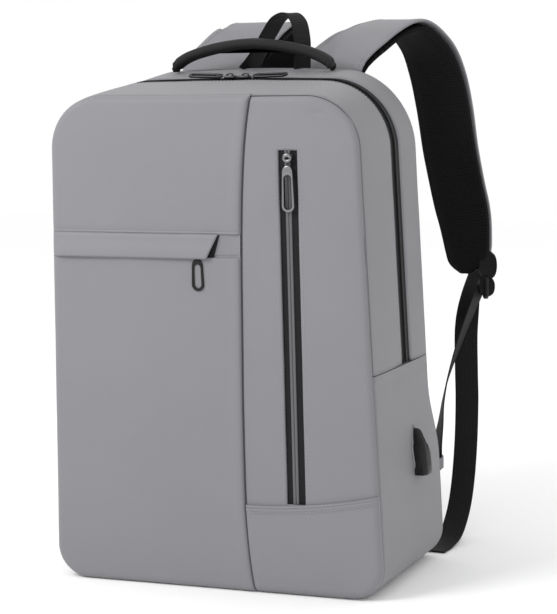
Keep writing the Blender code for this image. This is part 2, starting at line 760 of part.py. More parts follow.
def make_webbing(side, word, top):
    """The strand from the tab to the buckle, and the free tail below the buckle."""
    across = Vector((math.cos(BUCKLE_TURN), -math.sin(BUCKLE_TURN), 0.0))
    strand = smooth_route(STRAND_ROUTE if side > 0 else left_strand_points(), 2)
    low_way = Vector((0.35 * side, -0.94, 0.0))
    ways = [low_way.lerp(across, index / (len(strand) - 1)) for index in range(len(strand))]
    webbing("strap_strand_" + word, strand, ways)
    tail = smooth_route(tail_points(side), 2)
    obj = webbing("strap_tail_" + word, tail, [Vector((0.98, 0.10, 0.0))] * len(tail), -WEB_THICK / 2)
    move_origin(obj, top)


def make_anchor_tabs():
    """The three-cornered cloth tabs that hold the straps' lower webbing."""
    outline = [(0.1450, 0.0960, 0.0720), (0.1450, 0.0950, 0.0960),
               (0.1540, 0.1040, 0.0950), (0.1540, 0.1040, 0.0800)]
    for side, word in ((1, "right"), (-1, "left")):
        near = [Vector((x * side, y, z)) for x, y, z in outline]
        far = [corner + Vector((-0.0030 * side, 0.0020, 0.0)) for corner in near]
        sweep("anchor_tab_" + word, [near, far], GREY)


# ------------------------------------------------------------- charging port
def make_port():
    """The moulded hood on the right side, with the socket that looks down from it."""
    middle = (PORT_LOW + PORT_HIGH) / 2
    wall = half_width(depth_of(PORT_Y), middle) + 0.0006
    y = PORT_Y - LEAN * middle
    levels = ((PORT_LOW, 1.0, 1.0), (middle - 0.004, 1.0, 1.0), (middle + 0.004, 0.80, 0.85),
              (PORT_HIGH - 0.008, 0.42, 0.50), (PORT_HIGH, 0.30, 0.16))
    sections = []
    for z, width, proud in levels:
        half = PORT_WIDTH / 2 * width
        out = wall + PORT_PROUD * proud
        foot = wall + (half_width(depth_of(PORT_Y), z) - half_width(depth_of(PORT_Y), middle))
        ring = [(foot, y - half), (out - 0.003 * proud, y - half), (out, y - half + 0.004 * width),
                (out, y + half - 0.004 * width), (out - 0.003 * proud, y + half), (foot, y + half)]
        sections.append([Vector((px, py, z)) for px, py in ring])
    hood = sweep("port_hood", sections, PLASTIC)
    socket_low, socket_high = PORT_LOW - 0.001, PORT_LOW + 0.013
    centre = Vector((wall + 0.0058, y, (socket_low + socket_high) / 2))
    cut(hood, box_cutter("socket_recess", (0.0066, 0.0146, socket_high - socket_low), centre))
    make_socket(centre, socket_high)


def make_socket(centre, ceiling):
    """A thin steel shell with the contact tongue inside it, open downwards."""
    low, high = PORT_LOW + 0.0006, ceiling - GAP
    shell = block("port_shell", (centre.x - 0.0028, centre.y - 0.0068, low),
                  (centre.x + 0.0028, centre.y + 0.0068, high), STEEL)
    roof = high - 0.0004
    cut(shell, box_cutter("shell_hollow", (0.0046, 0.0124, 0.020), (centre.x, centre.y, roof - 0.010)))
    block("port_tongue", (centre.x - 0.0010, centre.y - 0.0055, low + 0.0012),
          (centre.x + 0.0008, centre.y + 0.0055, roof - GAP), PLASTIC)


# --------------------------------------------------------------------- joints
UPPER_FRONT = ("front_gusset", "main_zip_tape_front", "main_zip_coil_front", "front_left_top",
               "front_left_middle", "pocket_welt", "hidden_zip_tape", "hidden_pocket_bag",
               "front_right_upper", "front_zip_upper", "upright_pocket_bag", "front_lining_upper")
SLIDERS = ("main_slider_left", "main_slider_right", "front_slider", "hidden_slider")


def hang(child, parent):
    """Parent one object to another that is only moved, keeping its place."""
    child.parent = parent
    child.matrix_parent_inverse = Matrix.Translation(-parent.location)


def join_moving_pieces():
    """Hang the upper front on its fold, and each pull on its slider."""
    fold = bpy.data.objects.new("front_opening_axis", None)
    fold.location = (0.0, FLAP_AXIS_Y, SPLIT_Z)
    PARTS.objects.link(fold)
    for name in UPPER_FRONT:
        hang(bpy.data.objects[name], fold)
    for name in SLIDERS:
        slider = bpy.data.objects[name]
        hang(bpy.data.objects[name.replace("slider", "pull")], slider)
        hang(slider, fold)


def main():
    make_base()
    make_side_walls()
    make_arches()
    make_back()
    make_front_left()
    make_front_right()
    make_linings()
    make_main_sliders()
    make_front_slider()
    make_hidden_slider()
    make_handle()
    make_hang_loop()
    for side, word in ((1, "right"), (-1, "left")):
        make_strap(side, word)
    make_anchor_tabs()
    make_port()
    join_moving_pieces()


clear_scene()
PARTS = new_collection("laptop backpack")
CUTTERS = new_collection("cutters", hidden=True)
main()
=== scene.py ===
# %% [markdown]
# # A grey laptop backpack with a charging port
# The CAD model says where every panel, zip and strap is and how it moves. This lesson dresses it:
# soft cloth panels with turned edges, zips with real teeth, sliders and pulls, padded mesh,
# ribbed webbing and rows of stitches. Every piece is made in place, in metres, with Z up.

# %% Load the frame
import math

import bmesh
import bpy
from mathutils import Matrix, Vector, noise


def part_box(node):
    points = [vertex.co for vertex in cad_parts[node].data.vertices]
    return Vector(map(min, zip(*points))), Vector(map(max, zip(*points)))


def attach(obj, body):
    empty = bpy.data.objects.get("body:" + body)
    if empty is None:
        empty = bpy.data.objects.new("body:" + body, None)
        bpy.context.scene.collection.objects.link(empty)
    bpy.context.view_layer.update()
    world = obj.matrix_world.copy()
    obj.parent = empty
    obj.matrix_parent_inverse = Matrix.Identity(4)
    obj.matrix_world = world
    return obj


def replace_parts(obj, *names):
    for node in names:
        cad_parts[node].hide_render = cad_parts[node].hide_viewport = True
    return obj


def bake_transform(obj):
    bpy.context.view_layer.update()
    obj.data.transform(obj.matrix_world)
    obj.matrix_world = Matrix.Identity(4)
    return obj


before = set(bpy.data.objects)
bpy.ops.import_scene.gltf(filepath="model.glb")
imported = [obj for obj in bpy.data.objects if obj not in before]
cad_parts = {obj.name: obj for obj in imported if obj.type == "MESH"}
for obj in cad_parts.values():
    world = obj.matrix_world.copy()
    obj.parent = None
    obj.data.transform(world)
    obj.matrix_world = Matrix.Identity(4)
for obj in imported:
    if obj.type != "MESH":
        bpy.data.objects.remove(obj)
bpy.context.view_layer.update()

# %% [markdown]
# ## The camera
# A long lens far away keeps the bag's upright edges nearly parallel. The camera stands a little
# to the right of the bag and a little above its middle, and it is aimed by the two points.

# %% Camera
CAMERA_PLACE = Vector((0.6380, -1.6180, 0.4410))
CAMERA_TARGET = Vector((0.0322, 0.0, 0.2356))
CAMERA_ROLL = math.radians(-0.72)
camera = bpy.data.objects.new("camera", bpy.data.cameras.new("camera"))
bpy.context.scene.collection.objects.link(camera)
camera.data.lens = 116.8
camera.location = CAMERA_PLACE
camera.rotation_mode = "QUATERNION"
aim = (CAMERA_TARGET - CAMERA_PLACE).to_track_quat("-Z", "Y")
camera.rotation_quaternion = aim @ Matrix.Rotation(CAMERA_ROLL, 3, "Z").to_quaternion()
bpy.context.scene.camera = camera
print("camera distance:", round((CAMERA_TARGET - CAMERA_PLACE).length, 3))

# %% [markdown]
# ## The bag's form
# The bag is a rounded box that leans forward a little, tapers upwards and stands out at the
# lower back. A few functions describe that form, so that every cloth panel can be laid on it
# with the same measures as the solids underneath.

# %% Measures of the form
FRONT_Y, BACK_Y, LEAN = -0.0745, 0.0745, 0.05
HALF_FRONT, HALF_BACK, TAPER, TAPER_Z = 0.1475, 0.1515, 0.23, 0.10
TOP_FRONT, TOP_BACK, CROWN = 0.421, 0.437, 0.006
RADIUS_FRONT, RADIUS_BACK, RADIUS_BASE = 0.045, 0.065, 0.028
BULGE, BULGE_LOW, BULGE_HIGH = 0.024, 0.095, 0.165
FOLD_Z, POCKET_TOP, HEM_Z = 0.200, 0.190, 0.0004
ZIP_START, ZIP_END = 0.0050, 0.0270
FRONT_EDGE_Y, BACK_EDGE_Y = FRONT_Y + 0.0042, BACK_Y - 0.0020
CROWN_HALF = 0.16          # half width over which the top rises to its crown
WELT_LOW = 0.2855
UPRIGHT_LOW, UPRIGHT_HIGH, UPRIGHT_HALF = 0.0790, 0.3760, 0.0079


def ramp(value, low, high):
    """0 below low, 1 above high and a smooth rise between them."""
    t = min(1.0, max(0.0, (value - low) / (high - low)))
    return t * t * (3 - 2 * t)


def depth_of(y):
    """A distance at floor level as 0 at the front and 1 at the back."""
    return (y - FRONT_Y) / (BACK_Y - FRONT_Y)


def form_y(depth, z):
    back = BACK_Y + BULGE * ramp(-z, -BULGE_HIGH, -BULGE_LOW)
    return FRONT_Y + (back - FRONT_Y) * depth - LEAN * z


def half_width(depth, z):
    level = HALF_FRONT + (HALF_BACK - HALF_FRONT) * depth
    return level * (1 - TAPER * (z - TAPER_Z))


def top_of(depth):
    return TOP_FRONT + (TOP_BACK - TOP_FRONT) * depth


def radius_of(depth):
    return RADIUS_FRONT + (RADIUS_BACK - RADIUS_FRONT) * depth


def rise_of(depth, x, z):
    """How far the crown lifts a point near the top."""
    start = top_of(depth) - radius_of(depth)
    return CROWN * depth * ramp(z, start, top_of(depth)) * (1 - (x / CROWN_HALF) ** 2)


def outline_half(depth, z):
    """Half width with the rounded corners at the base and at the top."""
    if z < RADIUS_BASE:
        corner = half_width(depth, RADIUS_BASE) - RADIUS_BASE
        return corner + math.sqrt(max(0.0, RADIUS_BASE ** 2 - (RADIUS_BASE - z) ** 2))
    centre = top_of(depth) - radius_of(depth)
    if z > centre:
        corner = half_width(depth, centre) - radius_of(depth)
        return corner + math.sqrt(max(0.0, radius_of(depth) ** 2 - (z - centre) ** 2))
    return half_width(depth, z)


def edge_gap(depth, x, z):
    """Distance from a point of an upright panel to the panel's rounded outline."""
    x = abs(x)
    centre = top_of(depth) - radius_of(depth)
    corner = half_width(depth, centre) - radius_of(depth)
    foot = half_width(depth, RADIUS_BASE) - RADIUS_BASE
    if z > centre and x > corner:
        return radius_of(depth) - math.hypot(x - corner, z - centre)
    if z < RADIUS_BASE and x > foot:
        return RADIUS_BASE - math.hypot(x - foot, RADIUS_BASE - z)
    return min(half_width(depth, z) - x, top_of(depth) - z, z)


def seam_x(z):
    """The upright seam between the left and right front sections."""
    return 0.027 + 0.021 * z + (0.009 if z > 0.2 else 0.014) * ((z - 0.2) / 0.22) ** 4


def upright_x(z):
    """Middle of the upright zip."""
    return 0.0766 - 0.0035 * (UPRIGHT_HIGH - z)


print("half width at the fold:", round(half_width(0, FOLD_Z), 4))

# %% [markdown]
# ## Tools for cloth
# A sewn panel never ends in a sharp cut: its edge is turned under, so it drops away in a small
# quarter circle. `roll` gives that drop. `cloth` starts from a flat bmesh grid and puts each of
# its corners in space, which keeps the squares in rows that the weave can follow, and a Solidify
# modifier gives the sheet its thickness.

# %% Cloth tools
def roll(distance, radius):
    """How far a turned edge has dropped, at a distance inside the edge."""
    if distance >= radius:
        return 0.0
    inside = radius - max(0.0, distance)
    return radius - math.sqrt(max(0.0, radius ** 2 - inside ** 2))


def ripple(a, b, seed, size=0.0004, wave=0.045):
    """A gentle unevenness of slack cloth."""
    spot = Vector((a / wave, b / wave, seed))
    return size * (noise.noise(spot) + 0.35 * noise.noise(spot * 3.1))


def groove(value, at, width):
    return math.exp(-((value - at) / width) ** 2)


def crowded(t, share):
    """t from 0 to 1, with a share of its even steps crowded towards both ends."""
    return t * (1 - share) + share * (1 - math.cos(math.pi * t)) / 2


def template_mesh(name, builder):
    """A mesh that is not in the scene, to be repeated."""
    mesh = bpy.data.meshes.new(name)
    builder.to_mesh(mesh)
    builder.free()
    return mesh


def finish_mesh(name, builder, look, smooth=True, sharp=50.0):
    """Turn a bmesh into a linked object with a material and smooth shading."""
    mesh = template_mesh(name, builder)
    if smooth:
        mesh.shade_smooth()
        mesh.set_sharp_from_angle(angle=math.radians(sharp))
    mesh.materials.append(look)
    piece = bpy.data.objects.new(name, mesh)
    bpy.context.scene.collection.objects.link(piece)
    return piece


def lay_grid(columns, rows, place):
    """A bmesh grid with each corner moved to place(column, row), and a weave map in metres."""
    sheet = bmesh.new()
    bmesh.ops.create_grid(sheet, x_segments=columns, y_segments=rows, size=0.5)
    number = {}
    for corner in sheet.verts:
        column = round((corner.co.x + 0.5) * columns)
        row = round((corner.co.y + 0.5) * rows)
        number[corner] = (column, row)
        corner.co = place(column, row)
    across, up = [0.0], [0.0]
    for column in range(columns):
        step = place(column + 1, rows // 2) - place(column, rows // 2)
        across.append(across[-1] + step.length)
    for row in range(rows):
        step = place(columns // 2, row + 1) - place(columns // 2, row)
        up.append(up[-1] + step.length)
    weave = sheet.loops.layers.uv.new("weave")
    for face in sheet.faces:
        for loop in face.loops:
            column, row = number[loop.vert]
            loop[weave].uv = (across[column], up[row])
    return sheet


def cloth(name, columns, rows, place, look, wall=0.0012, hole=None):
    """A sheet of cloth; hole(centre) says which of its squares are left out."""
    sheet = lay_grid(columns, rows, place)
    if hole:
        out = [face for face in sheet.faces if hole(face.calc_center_median())]
        bmesh.ops.delete(sheet, geom=out, context="FACES")
    piece = finish_mesh(name, sheet, look)
    thickness = piece.modifiers.new("cloth thickness", "SOLIDIFY")
    thickness.thickness = wall
    thickness.offset = -1.0
    return piece


def tube(name, around, along, place, look, closed=False):
    """A closed sleeve; place(angle, row) gives a point, and both ends are filled."""
    sleeve = lay_grid(around, along, lambda a, row: place(2 * math.pi * a / around, row))
    bmesh.ops.remove_doubles(sleeve, verts=sleeve.verts, dist=0.000002)
    if not closed:
        rim = [edge for edge in sleeve.edges if edge.is_boundary]
        bmesh.ops.holes_fill(sleeve, edges=rim, sides=0)
    bmesh.ops.recalc_face_normals(sleeve, faces=sleeve.faces)
    return finish_mesh(name, sleeve, look)


def oval(angle, power):
    """A rounded rectangle of half size 1; a higher power has squarer corners."""
    c, s = math.cos(angle), math.sin(angle)
    bend = 2.0 / power
    return math.copysign(abs(c) ** bend, c), math.copysign(abs(s) ** bend, s)


def smooth_route(points, steps):
    """A smooth curve through the points, steps pieces to each span."""
    curve = [Vector(point) for point in points]
    padded = [2 * curve[0] - curve[1]] + curve + [2 * curve[-1] - curve[-2]]
    route = []
    for first, second, third, fourth in zip(padded, padded[1:], padded[2:], padded[3:]):
        for step in range(steps):
            t = step / steps
            route.append(0.5 * (2 * second + (third - first) * t
                                + (2 * first - 5 * second + 4 * third - fourth) * t ** 2
                                + (3 * second - first - 3 * third + fourth) * t ** 3))
    route.append(curve[-1])
    return route


def route_length(route):
    return round(sum((b - a).length for a, b in zip(route, route[1:])), 3)


def band_frames(route, ways):
    """For each point of a route: the point, the direction across it and its normal."""
    frames = []
    for index, point in enumerate(route):
        along = (route[min(len(route) - 1, index + 1)] - route[max(0, index - 1)]).normalized()
        way = ways[index]
        across = (way - along * way.dot(along)).normalized()
        frames.append((point, across, across.cross(along)))
    return frames


def band(name, frames, widths, thicks, look, outwards=0.0, power=6.0, around=20):
    """A strap along a route, with a rounded rectangular section."""
    def place(angle, row):
        point, across, normal = frames[row]
        c, s = oval(angle, power)
        middle = point + normal * (outwards + thicks[row] / 2)
        return middle + across * (widths[row] / 2 * c) + normal * (thicks[row] / 2 * s)
    return tube(name, around, len(frames) - 1, place, look)


def repeat(name, template, places, look):
    """Many copies of one small mesh, joined in one piece."""
    gathered = bmesh.new()
    for matrix in places:
        one = template.copy()
        one.transform(matrix)
        gathered.from_mesh(one)
        bpy.data.meshes.remove(one)
    return finish_mesh(name, gathered, look)


print("cloth tools ready")

# %% [markdown]
# ## Shader tools
# A material is a small sum: a colour that varies a little, a roughness that varies a little, and
# a height that a Bump node turns into relief. The `Value` class lets such sums be written as
# plain Python, and `Look.add` makes any other node.

# %% Shader tools
class Value:
    """A node's output that adds Math nodes when it is used in a sum."""

    def __init__(self, look, socket):
        self.look, self.socket = look, socket

    def math(self, operation, *others):
        return self.look.add("ShaderNodeMath", {"operation": operation},
                             dict(enumerate((self, *others))))

    def __add__(self, other):
        return self.math("ADD", other)

    def __sub__(self, other):
        return self.math("SUBTRACT", other)

    def __mul__(self, other):
        return self.math("MULTIPLY", other)

    def __rsub__(self, other):
        return self.look.add("ShaderNodeMath", {"operation": "SUBTRACT"}, {0: other, 1: self})

    __radd__ = __add__
    __rmul__ = __mul__

    def sine(self):
        return self.math("SINE")

    def above(self, low, high):
        """0 below low and 1 above high, with a smooth rise between."""
        return self.look.add("ShaderNodeMapRange", {"interpolation_type": "SMOOTHSTEP"},
                             {"Value": self, "From Min": low, "From Max": high})


def socket_name(word):
    """base_color as Base Color, the way the shader names its sockets."""
    return word.replace("_", " ").title().replace("Ior", "IOR")


class Look:
    """A material that is being made."""

    def __init__(self, name, **constants):
        self.material = bpy.data.materials.new(name)
        self.material.use_nodes = True
        self.nodes = self.material.node_tree.nodes
        self.links = self.material.node_tree.links
        self.shader = self.nodes["Principled BSDF"]
        for socket, value in constants.items():
            self.shader.inputs[socket_name(socket)].default_value = value

    def join(self, socket, value):
        if isinstance(value, Value):
            self.links.new(value.socket, socket)
        else:
            socket.default_value = value

    def add(self, kind, settings=None, sockets=None, output=0):
        node = self.nodes.new(kind)
        for key, value in (settings or {}).items():
            setattr(node, key, value)
        for key, value in (sockets or {}).items():
            self.join(node.inputs[key], value)
        return Value(self, node.outputs[output])

    def feed(self, **sockets):
        for socket, value in sockets.items():
            self.join(self.shader.inputs[socket_name(socket)], value)
        return self.material

    def weave_map(self):
        """The cloth's own map, in metres across and along."""
        uv = self.add("ShaderNodeTexCoord", output="UV")
        return (self.add("ShaderNodeSeparateXYZ", None, {0: uv}, "X"),
                self.add("ShaderNodeSeparateXYZ", None, {0: uv}, "Y"))

    def width_height(self):
        """Width and height in the bag's own frame, in metres."""
        place = self.add("ShaderNodeTexCoord", output="Object")
        return (self.add("ShaderNodeSeparateXYZ", None, {0: place}, "X"),
                self.add("ShaderNodeSeparateXYZ", None, {0: place}, "Z"))

    def speckle(self, scale, detail=2.0, rough=0.5):
        place = self.add("ShaderNodeTexCoord", output="Object")
        return self.add("ShaderNodeTexNoise", None,
                        {"Vector": place, "Scale": scale, "Detail": detail, "Roughness": rough})

    def mix(self, factor, first, second):
        return self.add("ShaderNodeMix", {"data_type": "RGBA"},
                        {"Factor": factor, 6: (*first, 1.0), 7: (*second, 1.0)}, 2)

    def relief(self, height, depth, strength=1.0):
        return self.add("ShaderNodeBump", None,
                        {"Height": height, "Distance": depth, "Strength": strength})


TURN = 2 * math.pi
print("shader tools ready")

# %% [markdown]
# ## The finishes
# The bag's cloth is a tight polyester with a smooth coating: an even grey with a dull sheen and
# a fine square weave. The padding is covered with black spacer mesh, whose open cells show as
# slanting rows. Webbing has ribs across it, and zips are nylon on woven tape.

# %% Grey coated cloth
def coated_cloth(name, light, dark):
    look = Look(name, sheen_weight=0.12, sheen_roughness=0.4, specular_ior_level=0.35)
    across, along = look.weave_map()
    pitch = TURN / 0.0009
    threads = (across * pitch).sine() * (along * pitch).sine()
    cloud = look.speckle(9.0, 3.0)
    grain = look.speckle(1400.0, 2.0)
    colour = look.mix(cloud * 0.75 + grain * 0.25, dark, light)
    height = threads * 0.5 + grain * 0.6
    return look.feed(base_color=colour, roughness=grain * 0.16 + 0.50,
                     normal=look.relief(height, 0.00010, 0.55))


grey_cloth = coated_cloth("grey coated cloth", (0.208, 0.207, 0.220), (0.182, 0.181, 0.194))
lining_cloth = coated_cloth("dark lining cloth", (0.050, 0.050, 0.056), (0.030, 0.030, 0.034))
print(grey_cloth.name, "and", lining_cloth.name)

# %% Black spacer mesh
def spacer_mesh(name, flat=False):
    """The cells follow the cloth's own map, or the width and height where the piece is flat."""
    look = Look(name, specular_ior_level=0.10)
    across, along = look.width_height() if flat else look.weave_map()
    pitch = TURN / 0.0046
    rising = ((across + along) * pitch).sine()
    falling = ((across - along) * pitch).sine()
    cell = (rising * falling).above(0.02, 0.45)
    fuzz = look.speckle(1800.0, 2.0)
    # Painted shade: the open cells are coloured darker than the threads, as shade in the holes.
    colour = look.mix(cell, (0.0105, 0.0105, 0.0115), (0.0015, 0.0015, 0.0018))
    height = (1.0 - cell) + fuzz * 0.25
    return look.feed(base_color=colour, roughness=0.85 - fuzz * 0.2,
                     normal=look.relief(height, 0.0007, 0.8))


black_mesh = spacer_mesh("black spacer mesh")
cushion_mesh = spacer_mesh("black cushion mesh", flat=True)
print(black_mesh.name, cushion_mesh.name)

# %% Ribbed webbing and woven tape
def ribbed(name, pitch, depth, light, dark):
    look = Look(name, specular_ior_level=0.16)
    across, along = look.weave_map()
    ribs = (along * (TURN / pitch)).sine()
    strands = (across * (TURN / (pitch * 1.6))).sine()
    fuzz = look.speckle(1500.0, 2.0)
    height = ribs * 0.5 + strands * 0.3 + fuzz * 0.4
    # Painted shade and highlight: the colour follows the relief, darker in the grooves between the
    # ribs and lighter on their crests.
    colour = look.mix(height.above(-0.6, 0.9), dark, light)
    return look.feed(base_color=colour, roughness=0.72 - fuzz * 0.15,
                     normal=look.relief(height, depth, 0.7))


webbing = ribbed("black webbing", 0.0016, 0.00025, (0.0150, 0.0150, 0.0160),
                 (0.0050, 0.0050, 0.0055))
zip_tape = ribbed("black zip tape", 0.0010, 0.00015, (0.0135, 0.0135, 0.0150),
                  (0.0050, 0.0050, 0.0058))
handle_cloth = ribbed("black handle cloth", 0.0007, 0.00012, (0.0230, 0.0230, 0.0245),
                      (0.0105, 0.0105, 0.0115))
print(webbing.name, zip_tape.name, handle_cloth.name)

# %% Hard finishes and thread
def moulded(name, colour, roughness, metallic=0.0, grain=0.06, gloss=0.5):
    look = Look(name, metallic=metallic, specular_ior_level=gloss)
    speckle = look.speckle(700.0, 3.0)
    lighter = tuple(min(1.0, part * 1.25) for part in colour)
    return look.feed(base_color=look.mix(speckle, colour, lighter),
                     roughness=speckle * grain + (roughness - grain / 2),
                     normal=look.relief(speckle, 0.00003, 0.5))


nylon_black = moulded("black nylon coil", (0.012, 0.012, 0.014), 0.40, gloss=0.3)
nylon_grey = moulded("grey nylon coil", (0.088, 0.088, 0.094), 0.44, gloss=0.4)
plastic = moulded("black moulded plastic", (0.0065, 0.0065, 0.0072), 0.42, grain=0.12, gloss=0.25)
gunmetal = moulded("gunmetal", (0.210, 0.210, 0.220), 0.30, metallic=1.0)
dark_metal = moulded("dark plated metal", (0.045, 0.045, 0.048), 0.32, metallic=1.0)
steel = moulded("socket steel", (0.560, 0.560, 0.570), 0.24, metallic=1.0)
grey_thread = moulded("grey thread", (0.235, 0.235, 0.250), 0.60)
print("finishes:", len(bpy.data.materials))

# %% [markdown]
# ## The front sections
# The left section is padded and stands a little in front of the right one. It turns under along
# the upright seam, so the seam reads as a dark line with a soft edge beside it. The surfaces are
# plain functions of width and height, because the stitches later have to lie on them too.

# %% Surfaces of the front
LEFT_PROUD = 0.0020
EDGE_ROLL = 0.0058         # the turned outer edge of the front
TUCK = 0.0030              # hidden cloth behind a turned edge
FOLD_LINES = (0.3062, 0.3088)


def pillow(gap, size, reach):
    """How far padding lifts the cloth, at a distance from its edge."""
    return size * (1 - math.exp(-max(0.0, gap) / reach))


def left_face_y(x, z):
    gap = edge_gap(0.0, x, z)
    to_seam = seam_x(z) - x
    lift = LEFT_PROUD + pillow(gap, 0.0010, 0.022) + ripple(x, z, 3.0)
    lift += 0.0005 * groove(to_seam, 0.006, 0.004)
    drop = max(roll(gap, EDGE_ROLL), 1.25 * roll(to_seam, 0.0030))
    drop += 0.0007 * groove(z, FOLD_LINES[1], 0.0008)
    return form_y(0.0, z) - lift + drop


def right_face_y(x, z):
    gap = edge_gap(0.0, x, z)
    lift = pillow(gap, 0.0010, 0.022) + ripple(x, z, 8.0)
    drop = roll(gap, EDGE_ROLL) + 0.0006 * math.exp(-max(0.0, x - seam_x(z)) / 0.004)
    drop += roll(x - seam_x(z), 0.0012)
    beside = abs(x - upright_x(z)) - UPRIGHT_HALF
    off_end = max(UPRIGHT_LOW - z, z - UPRIGHT_HIGH)
    gap_to_slot = math.hypot(max(0.0, beside), max(0.0, off_end))
    drop += roll(gap_to_slot, 0.0016)
    crease = groove(z, 0.4075 + 0.10 * (x - 0.1040), 0.0011) * groove(x, 0.1040, 0.0060)
    return form_y(0.0, z) - lift + drop + 0.0011 * crease


def outline_levels(low, high):
    """Heights for rows, close together where the outline turns a corner."""
    centre = TOP_FRONT - RADIUS_FRONT
    levels = {round(low, 5), round(high, 5)}
    levels.update(round(RADIUS_BASE * (1 - math.cos(math.radians(a))), 5) for a in range(6, 91, 6))
    levels.update(round(centre + RADIUS_FRONT * math.sin(math.radians(a)), 5)
                  for a in range(0, 91, 4))
    step = 0.0045
    count = int((centre - RADIUS_BASE) / step)
    levels.update(round(RADIUS_BASE + (centre - RADIUS_BASE) * n / count, 5) for n in range(count))
    for edge, way in ((low, 1), (high, -1), (UPRIGHT_LOW, -1), (UPRIGHT_HIGH, 1)):
        levels.add(round(edge, 5))
        levels.update(round(edge + way * part * 0.001, 5) for part in (0.4, 0.9, 1.5, 2.3, 3.4))
    ordered = sorted(z for z in levels if low <= z <= high)
    return [z for z, after in zip(ordered, ordered[1:] + [9.0]) if after - z > 0.0001]


def face_piece(name, heights, spans, counts, face_y, rolls=(0.0, 0.0), hole=None):
    """A front panel between two heights; spans(z) lists its upright lines from left to right.

    counts are its columns between those lines, and rolls the turned edges at its low and
    high ends. Hidden cloth is added all round.
    """
    low, high = heights
    levels = [low] + outline_levels(low, high) + [high]
    columns = sum(counts) + 2
    rows = len(levels) - 1

    def line(z, column):
        lines = spans(z)
        inner = min(max(column - 1, 0), columns - 2)
        for count, left, right in zip(counts, lines, lines[1:]):
            if inner <= count:
                t = inner / count
                return left + (right - left) * crowded(t, 0.65)
            inner -= count
        return lines[-1]

    def place(column, row):
        z = levels[row]
        x = line(z, column)
        y = face_y(x, z)
        y += max(roll(z - low, rolls[0]), roll(high - z, rolls[1]))
        if column in (0, columns) or row in (0, rows):
            y += TUCK
            x -= math.copysign(0.0008, x) * (column in (0, columns))
        return Vector((x, y, z))

    return cloth(name, columns, rows, place, grey_cloth, hole=hole)


def outer_left(z):
    return -outline_half(0.0, z) + 0.0006


def outer_right(z):
    return outline_half(0.0, z) - 0.0006


print("front face leans from", round(form_y(0, 0), 4), "to", round(form_y(0, TOP_FRONT), 4))


def over_fold(piece):
    """Cloth that runs across the fold between the bag and the opening front; its placing is baked
    into its mesh.
    """
    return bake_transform(piece)


def settle(piece, body):
    """Cloth of the main zip rides on the bag behind it and crosses the fold in front."""
    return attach(piece, body) if body == "bag" else over_fold(piece)


def left_spans(z):
    return [outer_left(z), seam_x(z)]


left_top = face_piece("front_left_top_cloth", (FOLD_LINES[0], TOP_FRONT), left_spans, [62],
                      left_face_y, rolls=(0.0014, 0.0))
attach(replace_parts(left_top, "front_left_top"), "front_flap")

left_lower = face_piece("front_left_lower_cloth", (HEM_Z, 0.2868), left_spans, [62],
                        left_face_y, rolls=(0.0, 0.0010))
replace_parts(left_lower, "front_left_middle", "front_left_lower")
over_fold(left_lower)
print("left section:", len(left_top.data.polygons) + len(left_lower.data.polygons), "faces")

# %% Right section with the slot for its zip
def in_slot(point):
    beside = abs(point.x - upright_x(point.z)) < UPRIGHT_HALF - 0.0001
    return beside and UPRIGHT_LOW < point.z < UPRIGHT_HIGH


def right_spans(z):
    middle = upright_x(z)
    return [seam_x(z) - 0.0010, middle - UPRIGHT_HALF, middle + UPRIGHT_HALF, outer_right(z)]


right_face = face_piece("front_right_cloth", (HEM_Z, TOP_FRONT), right_spans, [24, 10, 30],
                        right_face_y, hole=in_slot)
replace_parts(right_face, "front_right_upper", "front_right_lower")
over_fold(right_face)
print("right section:", len(right_face.data.polygons), "faces")

# %% [markdown]
# ## The hidden pocket
# Below a double fold line hangs a narrow flap with a slanted end. It covers the zip of a hidden
# pocket, and past its end a strip of facing carries on to the seam.

# %% Facing and flap
FACING_LOW = 0.2862


def facing_y(x, z):
    return form_y(0.0, z) - 0.0012 + ripple(x, z, 5.0, 0.0002) + 0.0005 * groove(z, 0.2884, 0.0006)


def facing_spans(z):
    return [outer_left(z) + 0.004, seam_x(z) - 0.0006]


facing = face_piece("pocket_facing", (FACING_LOW, FOLD_LINES[0] + 0.0006), facing_spans, [50],
                    facing_y)
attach(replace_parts(facing, "hidden_zip_tape"), "front_flap")


def flap_end(z):
    """The slanted end, which meets the double fold line at the top."""
    return 0.0044 + (0.0142 - 0.0044) / (FOLD_LINES[0] - WELT_LOW) * (z - WELT_LOW)


def flap_place(column, row):
    """The flap's left end is sewn flat, and its lower edge stands out."""
    t, s = column / 60, row / 14
    z = WELT_LOW + (FOLD_LINES[0] + 0.0004 - WELT_LOW) * crowded(s, 0.4)
    left = outer_left(z) + 0.0008
    x = left + (flap_end(z) - left) * crowded(t, 0.6)
    free = ramp(x, -0.1425, -0.1290)
    sewn = form_y(0.0, z) - left_face_y(x, z) - 0.0004
    open_out = 0.0038 + 0.0026 * ramp(-z, -0.3040, -0.2880) + 0.0012 * ramp(x, -0.03, 0.01)
    out = sewn * (1 - free) + free * open_out
    drop = 0.7 * free * roll(z - WELT_LOW, 0.0014) + 0.7 * roll(flap_end(z) - x, 0.0012)
    drop += free * 0.0016 * ramp(z, FOLD_LINES[0] - 0.0022, FOLD_LINES[0] + 0.0002)
    return Vector((x, form_y(0.0, z) - out - ripple(x, z, 12.0, 0.0002) + drop, z))


flap = cloth("pocket_flap", 60, 14, flap_place, grey_cloth, wall=0.0013)
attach(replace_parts(flap, "pocket_welt"), "front_flap")


def zip_tape_and_shade_place(column, row):
    """The hidden zip's dark tape under the slanted end; where it shows past the end, its black is
    painted shade under the flap.
    """
    s = row / 10
    z = WELT_LOW + 0.0006 + (FOLD_LINES[0] - 0.0012 - WELT_LOW) * s
    x = -0.120 + (flap_end(z) + 0.0044 - 0.0036 * s + 0.120) * column / 40
    return Vector((x, form_y(0.0, z) - 0.0018, z))


